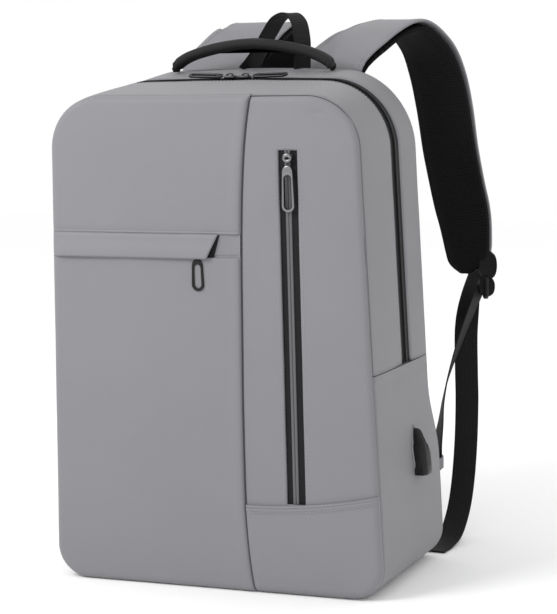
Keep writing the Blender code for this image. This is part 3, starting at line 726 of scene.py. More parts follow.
# Partly the real hidden zip tape, partly painted shade: the black wedge past the flap's end stands
# in for the shadow under it.
zip_tape_and_shade = cloth("hidden_zip_tape_and_shade", 40, 10, zip_tape_and_shade_place, zip_tape, wall=0.0004)
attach(zip_tape_and_shade, "front_flap")
print("flap ends at x", round(flap_end(WELT_LOW), 4))

# %% [markdown]
# ## The corner pocket
# The sewn-on panel in the lower right corner has a rolled upper edge with a second ridge just
# below it. It rises towards the side of the bag.

# %% Corner pocket
POCKET_EDGE = (0.0765, 0.0905)


def corner_edge(t):
    """Height of the pocket's edge, t from 0 at the seam to 1 at the side."""
    return POCKET_EDGE[0] + (POCKET_EDGE[1] - POCKET_EDGE[0]) * t ** 2


def corner_place(column, row):
    t = crowded(max(0, min(48, column - 1)) / 48, 0.6)
    s = 1 - (1 - max(0, min(40, row - 1)) / 40) ** 1.35
    edge = corner_edge(t)
    z = HEM_Z + (edge - HEM_Z) * s
    left, right = seam_x(z) + 0.0006, outer_right(z) + 0.0002
    x = left + (right - left) * t
    below = edge - z
    ridge = 0.0011 * groove(below, 0.0011, 0.0009) + 0.0006 * groove(below, 0.0044, 0.0011)
    lift = 0.0021 + ridge + pillow(edge_gap(0.0, x, z), 0.0008, 0.016) + ripple(x, z, 21.0)
    lift -= 0.0009 * groove(x - left, 0.0, 0.0022)
    y = form_y(0.0, z) - lift + roll(edge_gap(0.0, x, z), EDGE_ROLL) + 0.8 * roll(below, 0.0010)
    if column in (0, 50) or row in (0, 42):
        y += 0.0022
    return Vector((x, y, z))


corner = cloth("corner_pocket_cloth", 50, 42, corner_place, grey_cloth, wall=0.0010)
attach(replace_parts(corner, "corner_pocket"), "bag")
print("corner pocket rises to", POCKET_EDGE[1])

# %% [markdown]
# ## The top and sides
# One band of cloth runs from the fold on one side, over the top, to the fold on the other. The
# main zip splits it. Each half is a grid along the outline, lifted a little by its padding and
# turned under at both edges.

# %% Bands of the arch
ARCH_FOOT = 0.1906         # the bands run on over the fold to the edge of the side pockets


def arch_spot(depth, part, lift):
    """A point of the outline, part from -1 at the left fold to 1 at the right one."""
    centre = top_of(depth) - radius_of(depth)
    corner = half_width(depth, centre) - radius_of(depth)
    side, away = math.copysign(1.0, part), abs(part)
    if away < 0.26:
        x, z, out_x, out_z = corner * away / 0.26, top_of(depth), 0.0, 1.0
    elif away < 0.54:
        angle = math.radians(90) * (away - 0.26) / 0.28
        out_x, out_z = math.sin(angle), math.cos(angle)
        x, z = corner + radius_of(depth) * out_x, centre + radius_of(depth) * out_z
    else:
        z = centre + (ARCH_FOOT - centre) * (away - 0.54) / 0.46
        x, out_x, out_z = half_width(depth, z), 1.0, 0.0
    height = z + out_z * lift + rise_of(depth, x, z)
    return Vector((side * (x + out_x * lift), form_y(depth, z), height))


def arch_cloth(name, start, end, lift, rows=18, look=None, wall=0.0012):
    """A band of the arch between two distances from the front."""
    columns = 150
    levels = [start + (end - start) * crowded(step / rows, 0.7) for step in range(rows + 1)]

    def place(column, row):
        y = levels[row]
        return arch_spot(depth_of(y), -1 + 2 * column / columns, lift(y, -1 + 2 * column / columns))

    return cloth(name, columns, rows, place, look, wall=wall)


def front_band_lift(y, part):
    swell = pillow(min(y - FRONT_EDGE_Y, ZIP_START - y), 0.0011, 0.012)
    drop = 1.3 * roll(y - FRONT_EDGE_Y, 0.0024) + roll(ZIP_START - y, 0.0020)
    ridge = 0.0004 * groove(ZIP_START - y, 0.0036, 0.0014)
    return swell - drop + ridge + ripple(part * 0.37, y, 30.0) - 0.0003


def rear_band_lift(y, part):
    swell = pillow(min(y - ZIP_END, BACK_EDGE_Y - y), 0.0012, 0.010)
    drop = roll(y - ZIP_END, 0.0020) + roll(BACK_EDGE_Y - y, 0.0030)
    return swell - drop + ripple(part * 0.37, y, 36.0) - 0.0003


front_band = arch_cloth("front_gusset_cloth", FRONT_EDGE_Y, ZIP_START, front_band_lift,
                        look=grey_cloth)
over_fold(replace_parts(front_band, "front_gusset"))
rear_band = arch_cloth("rear_gusset_cloth", ZIP_END, BACK_EDGE_Y, rear_band_lift, look=grey_cloth)
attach(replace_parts(rear_band, "rear_gusset"), "bag")
print("gusset faces:", len(front_band.data.polygons) + len(rear_band.data.polygons))

# %% [markdown]
# ## The side pockets
# Each side pocket is one piece of cloth that starts under the base, turns the rounded corner and
# ends in a hem just below the main zip. It bulges a little, because its upper edge is free.

# %% Side pockets
def side_spot(y_floor, t, lift):
    """A point of a side wall, t from 0 at the base to 1 at the pocket's edge."""
    depth = depth_of(y_floor)
    arc = RADIUS_BASE * math.pi / 2
    total = arc + POCKET_TOP - RADIUS_BASE
    if t * total < arc:
        angle = t * total / RADIUS_BASE
        out_x, out_z = math.sin(angle), -math.cos(angle)
        corner = half_width(depth, RADIUS_BASE) - RADIUS_BASE
        x, z = corner + RADIUS_BASE * out_x, RADIUS_BASE + RADIUS_BASE * out_z
    else:
        z = RADIUS_BASE + t * total - arc
        x, out_x, out_z = half_width(depth, z), 1.0, 0.0
    return Vector((x + out_x * lift, form_y(depth, z), max(0.0, z + out_z * lift)))


def side_pocket(name, side, node):
    columns, rows = 46, 66
    start, end = FRONT_EDGE_Y, BACK_EDGE_Y

    def place(column, row):
        column = column if side > 0 else columns - column
        t = min(1.0, row / (rows - 1))
        part = column / columns
        y = start + (end - start) * crowded(part, 0.6)
        gap = min(y - start, end - y)
        lift = pillow(gap, 0.0016, 0.016) * ramp(t, 0.0, 0.3) + ripple(y, t * 0.2, 40.0 + side)
        lift += 0.0007 * groove(t, 0.985, 0.008) - 0.0005 * groove(t, 0.955, 0.006)
        lift -= roll(y - start, 0.0024) + roll(end - y, 0.0030) + 0.0002
        if row == rows:
            lift -= 0.0014
        spot = side_spot(y, t, lift)
        return Vector((side * spot.x, spot.y, spot.z))

    piece = cloth(name, columns, rows, place, grey_cloth, wall=0.0010)
    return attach(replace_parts(piece, node), "bag")


side_pocket("side_pocket_right_cloth", 1, "side_pocket_right")
side_pocket("side_pocket_left_cloth", -1, "side_pocket_left")
print("side pockets end at", POCKET_TOP)

# %% [markdown]
# ## Painted shade in the seams
# Two seams of the front show as dark lines: the upright one, and the one round the edge of the
# front. A narrow dark strip lies at the bottom of each groove as painted shade, to darken the line.

# %% Painted shade strips in the seams
# Painted shade: a dark strip at the bottom of the upright seam's groove darkens the seam line.
def seam_shade_strip_place(column, row):
    z = 0.0040 + (TOP_FRONT - 0.0055) * row / 160
    x = seam_x(z) - 0.0013 + 0.0022 * column / 4
    return Vector((x, right_face_y(x + 0.0012, z) - 0.0002, z))


seam_shade_strip = cloth("upright_seam_shade_strip", 4, 160, seam_shade_strip_place, lining_cloth, wall=0.0005)
over_fold(seam_shade_strip)


# Painted shade: a dark cord in the groove round the edge of the front darkens that seam line.
def edge_shade_cord_place(angle, row):
    part = -1 + 2 * row / 300
    middle = arch_spot(depth_of(FRONT_EDGE_Y - 0.0006), part, -0.0016)
    edge = depth_of(FRONT_EDGE_Y)
    outside = (arch_spot(edge, part, 0.01) - arch_spot(edge, part, 0.0)).normalized()
    return middle + outside * (0.0009 * math.cos(angle)) + Vector((0, 0.0011 * math.sin(angle), 0))


edge_shade_cord = tube("front_edge_shade_cord", 8, 300, edge_shade_cord_place, lining_cloth)
over_fold(edge_shade_cord)
print("seam tapes laid")

# %% [markdown]
# ## The main zip
# The zip runs over the arch. Each side has a woven tape and a row of nylon teeth, and the teeth
# of one side sit between those of the other. One tooth is modelled and repeated about a
# thousand times, so it has only a few faces.

# %% Tapes of the main zip
ZIP_MIDDLE = (ZIP_START + ZIP_END) / 2


def tape_lift(y, part):
    return -0.0013


for name, start, end, node, body in (
        ("main_tape_front", ZIP_START - 0.0022, ZIP_MIDDLE - 0.0004, "main_zip_tape_front",
         "front_flap"),
        ("main_tape_rear", ZIP_MIDDLE + 0.0004, ZIP_END + 0.0022, "main_zip_tape_rear", "bag")):
    tape = arch_cloth(name, start, end, tape_lift, rows=6, look=zip_tape, wall=0.0006)
    settle(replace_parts(tape, node), body)
print("tapes laid either side of", ZIP_MIDDLE)

# %% Teeth of the main zip
tooth_builder = bmesh.new()
bmesh.ops.create_cube(tooth_builder, size=1.0)
bmesh.ops.scale(tooth_builder, vec=(0.00075, 0.0026, 0.0011), verts=tooth_builder.verts)
bmesh.ops.bevel(tooth_builder, geom=tooth_builder.edges, offset=0.00022, offset_type="OFFSET",
                segments=1, profile=0.5, affect="EDGES", material=-1)
tooth = template_mesh("tooth", tooth_builder)


def stood(point, along, out):
    """A matrix that stands a small shape at a point, its X along and its Z outwards."""
    x = along.normalized()
    z = (out - x * out.dot(x)).normalized()
    return Matrix.Translation(point) @ Matrix((x, z.cross(x), z)).transposed().to_4x4()


def arch_length_parts(pitch):
    """Parts of the outline a pitch apart."""
    depth, last, parts = depth_of(ZIP_MIDDLE), None, []
    travelled = 0.0
    for step in range(6001):
        part = -1 + 2 * step / 6000
        spot = arch_spot(depth, part, 0.0)
        if last is not None:
            travelled += (spot - last).length
        last = spot
        if travelled >= pitch * len(parts):
            parts.append(part)
    return parts


tooth_parts = arch_length_parts(0.0015)
for name, across, turn, node, body in (
        ("main_teeth_front", -0.0010, 0, "main_zip_coil_front", "front_flap"),
        ("main_teeth_rear", 0.0010, 1, "main_zip_coil_rear", "bag")):
    spots = []
    for part, after in zip(tooth_parts, tooth_parts[1:]):
        part = part + (after - part) * 0.5 * turn
        depth = depth_of(ZIP_MIDDLE + across)
        here, ahead = arch_spot(depth, part, -0.0003), arch_spot(depth, part + 0.0005, -0.0003)
        outside = arch_spot(depth, part, 0.01) - here
        spots.append(stood(here, ahead - here, outside))
    teeth = repeat(name, tooth, spots, nylon_black)
    settle(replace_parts(teeth, node), body)
print("teeth a side:", len(tooth_parts))

# %% [markdown]
# ## The upright zip
# This zip is sewn in back to front: two black tapes show, and between them the coil's smooth
# grey back, which is two rounded ridges with a groove between them.

# %% Upright zip
UPRIGHT_SET = 0.0012       # how far the tape lies behind the front's face


def upright_strip(name, left, right, heights, bump, look, columns=6, wall=0.0006):
    rows = 96
    low, high = heights

    def place(column, row):
        z = low + (high - low) * row / rows
        side = left + (right - left) * column / columns
        return Vector((upright_x(z) + side, form_y(0.0, z) + UPRIGHT_SET - bump(side, z), z))

    piece = cloth(name, columns, rows, place, look, wall=wall)
    return over_fold(piece)


COIL_HALF = 0.0027


def coil_bump(side, z):
    """Two ridges with a groove between them."""
    across = abs(side + 0.0004) / COIL_HALF
    return 0.0009 * math.sqrt(max(0.0, 1 - (across - 0.52) ** 2 * 4.2)) ** 0.7 + 0.0002


upright_span = (UPRIGHT_LOW - 0.002, UPRIGHT_HIGH + 0.002)
left_tape = upright_strip("upright_tape_left", -UPRIGHT_HALF - 0.001, -0.0016, upright_span,
                          lambda side, z: 0.0, zip_tape)
right_tape = upright_strip("upright_tape_right", 0.0008, UPRIGHT_HALF + 0.001, upright_span,
                           lambda side, z: 0.0, zip_tape)
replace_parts(left_tape, "front_zip_upper")
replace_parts(right_tape, "front_zip_lower")
upright_strip("upright_coil", -0.0004 - COIL_HALF, COIL_HALF - 0.0004, upright_span, coil_bump,
              nylon_grey,
              columns=20, wall=0.0012)

turn_spots = []
for step in range(int((UPRIGHT_HIGH - UPRIGHT_LOW) / 0.0013)):
    z = UPRIGHT_LOW + 0.0013 * step
    for side in (-0.0018, 0.0010):
        spot = Vector((upright_x(z) + side, form_y(0.0, z) + UPRIGHT_SET - 0.00055, z))
        upright = stood(spot, Vector((0, 0, 1)), Vector((0, -1, 0)))
        turn_spots.append(upright @ Matrix.Diagonal((0.9, 0.75, 0.9, 1)))
turns = repeat("upright_coil_turns", tooth, turn_spots, nylon_grey)
over_fold(turns)
print("coil turns:", len(turn_spots))

# %% [markdown]
# ## Sliders and pulls
# A slider is a small cast body with a bridge on its back. The pull is a flat plate with a long
# slot. The plate is made like a ring: one closed section swept between an outer and an inner
# outline, so its edges are rounded all the way round.

# %% Hoops and slider bodies
def stadium(t, half, low, high):
    """A point of an upright outline with round ends, t from 0 to 1."""
    angle = TURN * t
    middle = high - half if math.sin(angle) > 0 else low + half
    return half * math.cos(angle), middle + half * math.sin(angle)


def hoop(name, outer, inner, thick, place, look, around=14, along=72, power=3.2):
    """A flat ring between two outlines; place puts its (width, length, thickness) in space."""
    def spot(angle, row):
        t = row / along
        (ox, oz), (ix, iz) = outer(t), inner(t)
        c, s = oval(angle, power)
        return place((ox + ix) / 2 + (ox - ix) / 2 * c, (oz + iz) / 2 + (oz - iz) / 2 * c,
                     thick / 2 * s)
    return tube(name, around, along, spot, look, closed=True)


def turned(axes, origin):
    """A placing function for local width, length and thickness directions."""
    wide, long, thick = (Vector(axis).normalized() for axis in axes)
    base = Vector(origin)
    return lambda a, b, c: base + wide * a + long * b + thick * c


def cast_body(name, low, high, place, look, edge=0.0009):
    """A bevelled block between two local corners."""
    body = bmesh.new()
    bmesh.ops.create_cube(body, size=1.0)
    size = [b - a for a, b in zip(low, high)]
    bmesh.ops.scale(body, vec=size, verts=body.verts)
    bmesh.ops.bevel(body, geom=body.edges, offset=edge, offset_type="OFFSET", segments=3,
                    profile=0.5, affect="EDGES", material=-1)
    for corner in body.verts:
        corner.co = place(*(corner.co[axis] + (low[axis] + high[axis]) / 2 for axis in range(3)))
    bmesh.ops.recalc_face_normals(body, faces=body.faces)
    return finish_mesh(name, body, look, sharp=80)


def bridge(name, half, rise, start, place, look, width=0.0032):
    """The loop on a slider's back that holds the pull."""
    points = [Vector((0, start + half * math.cos(a), rise * math.sin(a) ** 0.7 if step % 12
                      else 0.0))
              for step, a in enumerate(math.pi * step / 12 for step in range(13))]
    frames = band_frames(points, [Vector((1, 0, 0))] * len(points))
    piece = band(name, frames, [width] * 13, [0.0011] * 13, look, power=3.0, around=12)
    for corner in piece.data.vertices:
        corner.co = place(*corner.co)
    return piece


print("slider tools ready")

# %% Sliders and pulls of the main zip
for side, word in ((-1, "left"), (1, "right")):
    low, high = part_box("main_slider_" + word)
    middle = (low + high) / 2
    place = turned(((0, 1, 0), (side, 0, 0), (0, 0, 1)), middle)
    half = (high - low) / 2
    body = cast_body("main_slider_body_" + word, (-half.y, -half.x, -half.z - 0.0006),
                     (half.y, half.x, half.z - 0.0008), place, dark_metal)
    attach(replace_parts(body, "main_slider_" + word), "main_slider_" + word)
    arm = bridge("main_slider_bridge_" + word, 0.0034, 0.0026, 0.0008,
                 lambda a, b, c: place(a, b, c + half.z - 0.0012), dark_metal)
    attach(arm, "main_slider_" + word)
    low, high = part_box("main_pull_" + word)
    start = low if side > 0 else Vector((high.x, low.y, low.z))
    tilt = math.radians(20)
    place = turned(((0, math.cos(tilt), math.sin(tilt)), (side, 0, 0.03),
                    (0, -math.sin(tilt), math.cos(tilt))),
                   (start.x - 0.0002 * side, middle.y, (low.z + high.z) / 2 + 0.0006))
    length = high.x - low.x + 0.0002
    plate = hoop("main_pull_plate_" + word, lambda t: stadium(t, 0.0041, 0.0, length),
                 lambda t: stadium(t, 0.0021, 0.0068, length - 0.0028), 0.0020, place, dark_metal)
    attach(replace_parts(plate, "main_pull_" + word), "main_pull_" + word)
print("main sliders and pulls made")

# %% Slider and pull of the upright zip
low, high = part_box("front_slider")
slope = Vector((0.0, LEAN, -1.0)).normalized()
outward = Vector((0.0, -1.0, -LEAN)).normalized()
centre = (low + high) / 2
face_on = turned(((1, 0, 0), slope, outward), (centre.x, form_y(0.0, centre.z) - 0.0004, centre.z))
long_half = (high.z - low.z) / 2
body = cast_body("front_slider_body", (-0.0044, -long_half + 0.001, -0.0006),
                 (0.0044, long_half - 0.004, 0.0016), face_on, dark_metal)
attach(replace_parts(body, "front_slider"), "front_slider")
ring = hoop("front_slider_bridge", lambda t: stadium(t, 0.0040, -long_half + 0.0006, 0.0037),
            lambda t: stadium(t, 0.0021, -long_half + 0.0034, 0.0013), 0.0020,
            lambda a, b, c: face_on(a, b, c + 0.0024), gunmetal)
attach(ring, "front_slider")
tongue = hoop("front_slider_loop", lambda t: stadium(t, 0.0031, 0.0010, long_half - 0.0005),
              lambda t: stadium(t, 0.0013, 0.0026, long_half - 0.0022), 0.0015,
              lambda a, b, c: face_on(a, b, c + 0.0022), dark_metal)
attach(tongue, "front_slider")


def tapered(t, half, low, high, top_half):
    """A plate's outline that is wider at its lower end; length runs downwards."""
    x, z = stadium(t, half, low, high)
    share = ramp(z, low, low + (high - low) * 0.45)
    return x * (top_half / half + (1 - top_half / half) * share), z


low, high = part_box("front_pull")
pull_top = Vector(((low.x + high.x) / 2, form_y(0.0, high.z) - 0.0030, high.z + 0.0010))
pull_place = turned(((1, 0, 0), slope, outward), pull_top)
pull_length = high.z - low.z + 0.0006
plate = hoop("front_pull_plate", lambda t: tapered(t, 0.0055, 0.0, pull_length, 0.0042),
             lambda t: tapered(t, 0.0030, 0.0085, pull_length - 0.0026, 0.0028), 0.0022, pull_place,
             gunmetal)
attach(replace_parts(plate, "front_pull"), "front_pull")
rim = hoop("front_pull_rim", lambda t: tapered(t, 0.0036, 0.0078, pull_length - 0.0019, 0.0033),
           lambda t: tapered(t, 0.0028, 0.0087, pull_length - 0.0028, 0.0026), 0.0028, pull_place,
           dark_metal)
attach(rim, "front_pull")
print("upright pull is", round(pull_length * 1000, 1), "mm long")

# %% Slider and pull of the hidden zip
low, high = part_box("hidden_slider")
centre = (low + high) / 2
place = turned(((1, 0, 0), slope, outward), (centre.x, (low.y + high.y) / 2, centre.z))
body = cast_body("hidden_slider_body", (-0.0040, -0.0052, -0.0010), (0.0040, 0.0052, 0.0006),
                 place, dark_metal, edge=0.0006)
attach(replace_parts(body, "hidden_slider"), "hidden_slider")
low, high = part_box("hidden_pull")
hang_top = Vector(((low.x + high.x) / 2, form_y(0.0, high.z) - 0.0036, high.z + 0.0024))
place = turned(((1, 0, 0), slope, outward), hang_top)
hang_length = high.z - low.z + 0.0024
plate = hoop("hidden_pull_plate", lambda t: tapered(t, 0.0055, 0.0, hang_length, 0.0044),
             lambda t: tapered(t, 0.0032, 0.0050, hang_length - 0.0026, 0.0028), 0.0020, place,
             plastic)
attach(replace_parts(plate, "hidden_pull"), "hidden_pull")
print("hidden pull hangs", round(hang_length * 1000, 1), "mm")

# %% [markdown]
# ## The walls behind the pockets
# Behind each side pocket the bag's own wall carries on, and it shows in the narrow strip between
# the pocket's edge and the fold. It is the same grey cloth.

# %% Side walls
def side_wall(name, side, node):
    start, end = FRONT_Y + 0.0044, BACK_Y - 0.0052
    corner = RADIUS_BASE * math.pi / 2 - RADIUS_BASE
    top = (FOLD_Z - 0.0002 + corner) / (POCKET_TOP + corner)

    def place(column, row):
        t = 0.10 + (top - 0.10) * row / 60
        part = (column if side > 0 else 24 - column) / 24
        spot = side_spot(start + (end - start) * part, t, -0.0026)
        return Vector((side * spot.x, spot.y, spot.z))

    piece = cloth(name, 24, 60, place, grey_cloth, wall=0.0010)
    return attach(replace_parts(piece, node), "bag")


side_wall("side_wall_right_cloth", 1, "side_wall_right")
side_wall("side_wall_left_cloth", -1, "side_wall_left")
print("walls reach the fold at", FOLD_Z)

# %% [markdown]
# ## The handle
# The grab handle is a roll of cloth over foam. It is a soft oval in the middle, it wrinkles where
# it bends down, and its ends are pressed flat where they are sewn to the bag.

# %% Handle
HANDLE_Y, HANDLE_HALF, HANDLE_FOOT, HANDLE_RISE = 0.030, 0.0745, 0.4420, 0.0225
HANDLE_BEND = math.radians(84)
HANDLE_ARCH = 1.6          # 1 for a pointed arch, more for a flatter top


def handle_place(angle, row):
    t = -1 + 2 * row / 120
    x = HANDLE_HALF * math.sin(HANDLE_BEND * t) / math.sin(HANDLE_BEND)
    z = HANDLE_FOOT + HANDLE_RISE * (1 - abs(t) ** HANDLE_ARCH)
    slope = -HANDLE_RISE * HANDLE_ARCH * abs(t) ** (HANDLE_ARCH - 1) * math.copysign(1, t)
    along = Vector((HANDLE_HALF, 0.0, slope)).normalized()
    up = Vector((-along.z, 0.0, along.x))
    full = ramp(1 - abs(t), -0.06, 0.20)
    c, s = oval(angle, 2.4 + 1.6 * (1 - full))
    wrinkle = 0.0006 * (1 - full) * full * 4 * math.sin(52 * t + 2.0 * c)
    wrinkle += ripple(x, angle * 0.01, 50.0, 0.0003, 0.02)
    seam_dip = 0.0008 * full * math.exp(-((angle - math.radians(250)) / 0.10) ** 2)
    wide = 0.0064 + 0.0024 * full + wrinkle - seam_dip
    tall = 0.0017 + 0.0031 * full + wrinkle - seam_dip
    return Vector((x, HANDLE_Y, z)) + Vector((0.0, wide * c, 0.0)) + up * (tall * s)


handle = tube("handle_cover", 40, 120, handle_place, handle_cloth)
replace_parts(handle, "handle_grip")
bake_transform(handle)
print("handle spans", round(2 * HANDLE_HALF, 3))

# %% [markdown]
# ## The hang loop
# Behind the handle a loop of flat webbing stands up from the seam. It leans and twists as it
# rises, because its two ends are sewn down at different angles.

# %% Hang loop
LOOP_ROUTE = [
    (-0.0138, 0.0505, 0.4412), (-0.0100, 0.0505, 0.4465), (-0.0015, 0.0505, 0.4590),
    (0.0075, 0.0505, 0.4740), (0.0165, 0.0510, 0.4865), (0.0275, 0.0510, 0.4910),
    (0.0360, 0.0505, 0.4840),
    (0.0395, 0.0495, 0.4700), (0.0402, 0.0490, 0.4590), (0.0398, 0.0490, 0.4465),
    (0.0396, 0.0490, 0.4412)]
loop_route = smooth_route(LOOP_ROUTE, 10)
loop_last = len(loop_route) - 1
left_foot, right_foot = Vector((0.55, 0.83, 0.0)), Vector((0.35, 0.94, 0.0))
loop_ways = [left_foot.lerp(right_foot, ramp(n / loop_last, 0.02, 0.2))
             for n in range(loop_last + 1)]
loop = band("hang_loop_webbing", band_frames(loop_route, loop_ways), [0.0220] * (loop_last + 1),
            [0.0015] * (loop_last + 1), webbing, power=7.0, around=28)
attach(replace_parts(loop, "hang_loop"), "loop")
print("loop webbing:", route_length(loop_route), "m")

# %% [markdown]
# ## The shoulder straps
# Each strap is a sandwich: grey cloth outside, foam and black spacer mesh inside. It leaves the
# yoke behind the handle, arches over the top and twists as it falls, because the shoulder it is
# cut for slopes.

# %% Routes of the straps
STRAP_ROUTE = [
    (0.0600, 0.0635, 0.4300), (0.0625, 0.0670, 0.4420), (0.0705, 0.0755, 0.4540),
    (0.0840, 0.0850, 0.4655), (0.0960, 0.0990, 0.4750), (0.1125, 0.1190, 0.4800),
    (0.1260, 0.1380, 0.4630), (0.1336, 0.1500, 0.4380), (0.1382, 0.1600, 0.4054),
    (0.1420, 0.1680, 0.3657), (0.1474, 0.1730, 0.3321), (0.1537, 0.1760, 0.2985),
    (0.1575, 0.1790, 0.2600)]
TAIL_ROUTE = [
    (0.1541, 0.1850, 0.2470), (0.1487, 0.1870, 0.2240), (0.1470, 0.1890, 0.1950),
    (0.1497, 0.1900, 0.1570), (0.1506, 0.1900, 0.1283), (0.1501, 0.1880, 0.0902),
    (0.1488, 0.1820, 0.0526), (0.1475, 0.1700, 0.0261), (0.1460, 0.1480, 0.0075),
    (0.1436, 0.1240, 0.0018), (0.1415, 0.1060, 0.0010)]
STRAND_ROUTE = [
    (0.1455, 0.1060, 0.0975), (0.1463, 0.1150, 0.1180), (0.1465, 0.1250, 0.1390),
    (0.1478, 0.1400, 0.1610), (0.1530, 0.1600, 0.1900), (0.1640, 0.1740, 0.2260)]
STRAP_WIDTH, STRAP_END_WIDTH = 0.062, 0.040
WEB_WIDTH, WEB_THICK = 0.022, 0.0014
LEFT_SHIFT, LEFT_DRIFT = -0.112, -0.095
BUCKLE_TURN = math.radians(70.0)
BUCKLE_ACROSS = Vector((math.cos(BUCKLE_TURN), -math.sin(BUCKLE_TURN), 0.0))
BUCKLE_OUT = Vector((math.sin(BUCKLE_TURN), math.cos(BUCKLE_TURN), 0.0))


def strap_way(t, side):
    """Direction across a shoulder strap, t from 0 at the yoke to 1 at its end."""
    level = 0.22 * (1 - ramp(t, 0.0, 0.10))
    if side < 0:
        turn = math.radians(21.0) * ramp(t, 0.45, 0.90)
        return Vector((math.cos(turn), -math.sin(turn), level * 0.5))
    turn = math.radians(42.0) * ramp(t, 0.04, 0.24) - math.radians(21.0) * ramp(t, 0.25, 0.60)
    droop = 0.30 * ramp(t, 0.08, 0.20) * (1 - ramp(t, 0.20, 0.40))
    return Vector((math.cos(turn), -math.sin(turn), level - droop))


def shifted(points, side):
    """The right side's route, or the left side's, which swings outwards lower down."""
    if side > 0:
        return [Vector(point) for point in points]
    return [Vector((x + LEFT_SHIFT + LEFT_DRIFT * ramp(y, 0.075, 0.215), y, z))
            for x, y, z in points]


def strap_frames(side):
    points = shifted(STRAP_ROUTE, side)
    points.append(points[-1] + Vector((0.0014, 0.0010, -0.0085)))
    route = smooth_route(points, 9)
    last = len(route) - 1
    ways = [strap_way(index / last, side) for index in range(last + 1)]
    return band_frames(route, ways)


def strap_half(frames, index, side, hand):
    """Half the strap's width on one hand; its end is round inside and cut aslant outside."""
    t = index / (len(frames) - 1)
    full = STRAP_WIDTH / 2 + (STRAP_END_WIDTH - STRAP_WIDTH) / 2 * ramp(t, 0.80, 1.0)
    reach, power = (0.022, 1.5) if hand * side > 0 else (0.013, 2.0)
    past = 1 - min(1.0, (frames[-1][0] - frames[index][0]).length / reach)
    return full * (1 - 0.90 * (1 - max(0.0, 1 - past ** power) ** (1 / power)))


def cover_half(frames, index, side, hand):
    """Half the grey cover's width; towards its end it hides behind the mesh on the outside."""
    tuck = 0.0028 * ramp(index / (len(frames) - 1), 0.35, 0.80) if hand * side > 0 else 0.0
    return strap_half(frames, index, side, hand) - tuck


print("strap length:", route_length([point for point, across, normal in strap_frames(1)]))

# %% Covers and mesh pads
def strap_shell(name, side, outline, look, span, inset, edge, seed, cushion=0.0, start=0):
    """A layer of the strap between two distances outwards, rounded at its sides."""
    frames = strap_frames(side)
    middle, thick = (span[0] + span[1]) / 2, (span[1] - span[0]) / 2
    last = len(frames) - 1
    rows = last - start

    def place(angle, row):
        index = row + start
        point, across, normal = frames[index]
        t = index / last
        c, s = oval(angle, edge)
        half = outline(frames, index, side, c) - inset
        soft = 1 - 0.55 * cushion * abs(c) ** 3
        channel = 1 - 0.22 * cushion * groove(abs(c), 0.80, 0.05)
        soften = ripple(t * 0.45, c * 0.03 + 0.05 * (s > 0), seed, 0.0003, 0.03)
        closing = 1 - 0.45 * ramp(t, 0.965, 1.0) * cushion
        away = middle + thick * s * soft * channel * closing + soften
        return point + across * (half * c) + normal * away

    return tube(name, 48, rows, place, look)


for side, word in ((1, "right"), (-1, "left")):
    cover = strap_shell("strap_cloth_" + word, side, cover_half, grey_cloth, (0.0014, 0.0046),
                        0.0, 5.0, 60.0 + side)
    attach(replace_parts(cover, "strap_cover_" + word),
            "strap_" + word)
    pad = strap_shell("strap_mesh_" + word, side, strap_half, black_mesh, (-0.0082, 0.0010),
                      0.0010, 3.4, 70.0 + side, cushion=0.6, start=6)
    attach(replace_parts(pad, "strap_pad_" + word), "strap_" + word)
print("straps dressed")

# %% Stub, buckle and its bars
def capsule_bar(name, left, right, radius, place, look):
    """A round bar between two local points."""
    a, b = Vector(left), Vector(right)
    way = (b - a).normalized()
    side_way = way.orthogonal().normalized()
    other = way.cross(side_way)

    def spot(angle, row):
        t = (row / 10) * 2 - 1
        shrink = math.sqrt(max(0.0, 1 - abs(t) ** 8))
        centre = (a + b) / 2 + (b - a) / 2 * t
        away = side_way * math.cos(angle) + other * math.sin(angle)
        return place(*(centre + away * (radius * shrink)))

    return tube(name, 14, 10, spot, look)


def join_into(first, *others):
    """Add other pieces' meshes to the first one."""
    gathered = bmesh.new()
    for piece in (first, *others):
        gathered.from_mesh(piece.data)
    gathered.to_mesh(first.data)
    gathered.free()
    for piece in others:
        bpy.data.objects.remove(piece)
    return first


def web_roll(name, centre, across, out, up, wide, tall):
    """Webbing folded over itself: a flat-ended roll with a soft oval section."""
    def spot(angle, row):
        c, s = oval(angle, 2.3)
        t = row / 10 * 2 - 1
        layer = 1 - 0.05 * groove(abs(c), 0.55, 0.10) * (1 if s > 0 else 0.4)
        shrink = (1 - 0.06 * abs(t) ** 12) * layer
        middle = centre + across * (WEB_WIDTH / 2 * t)
        return middle + out * (wide * c * shrink) + up * (tall * s * shrink)

    return tube(name, 48, 10, spot, webbing)


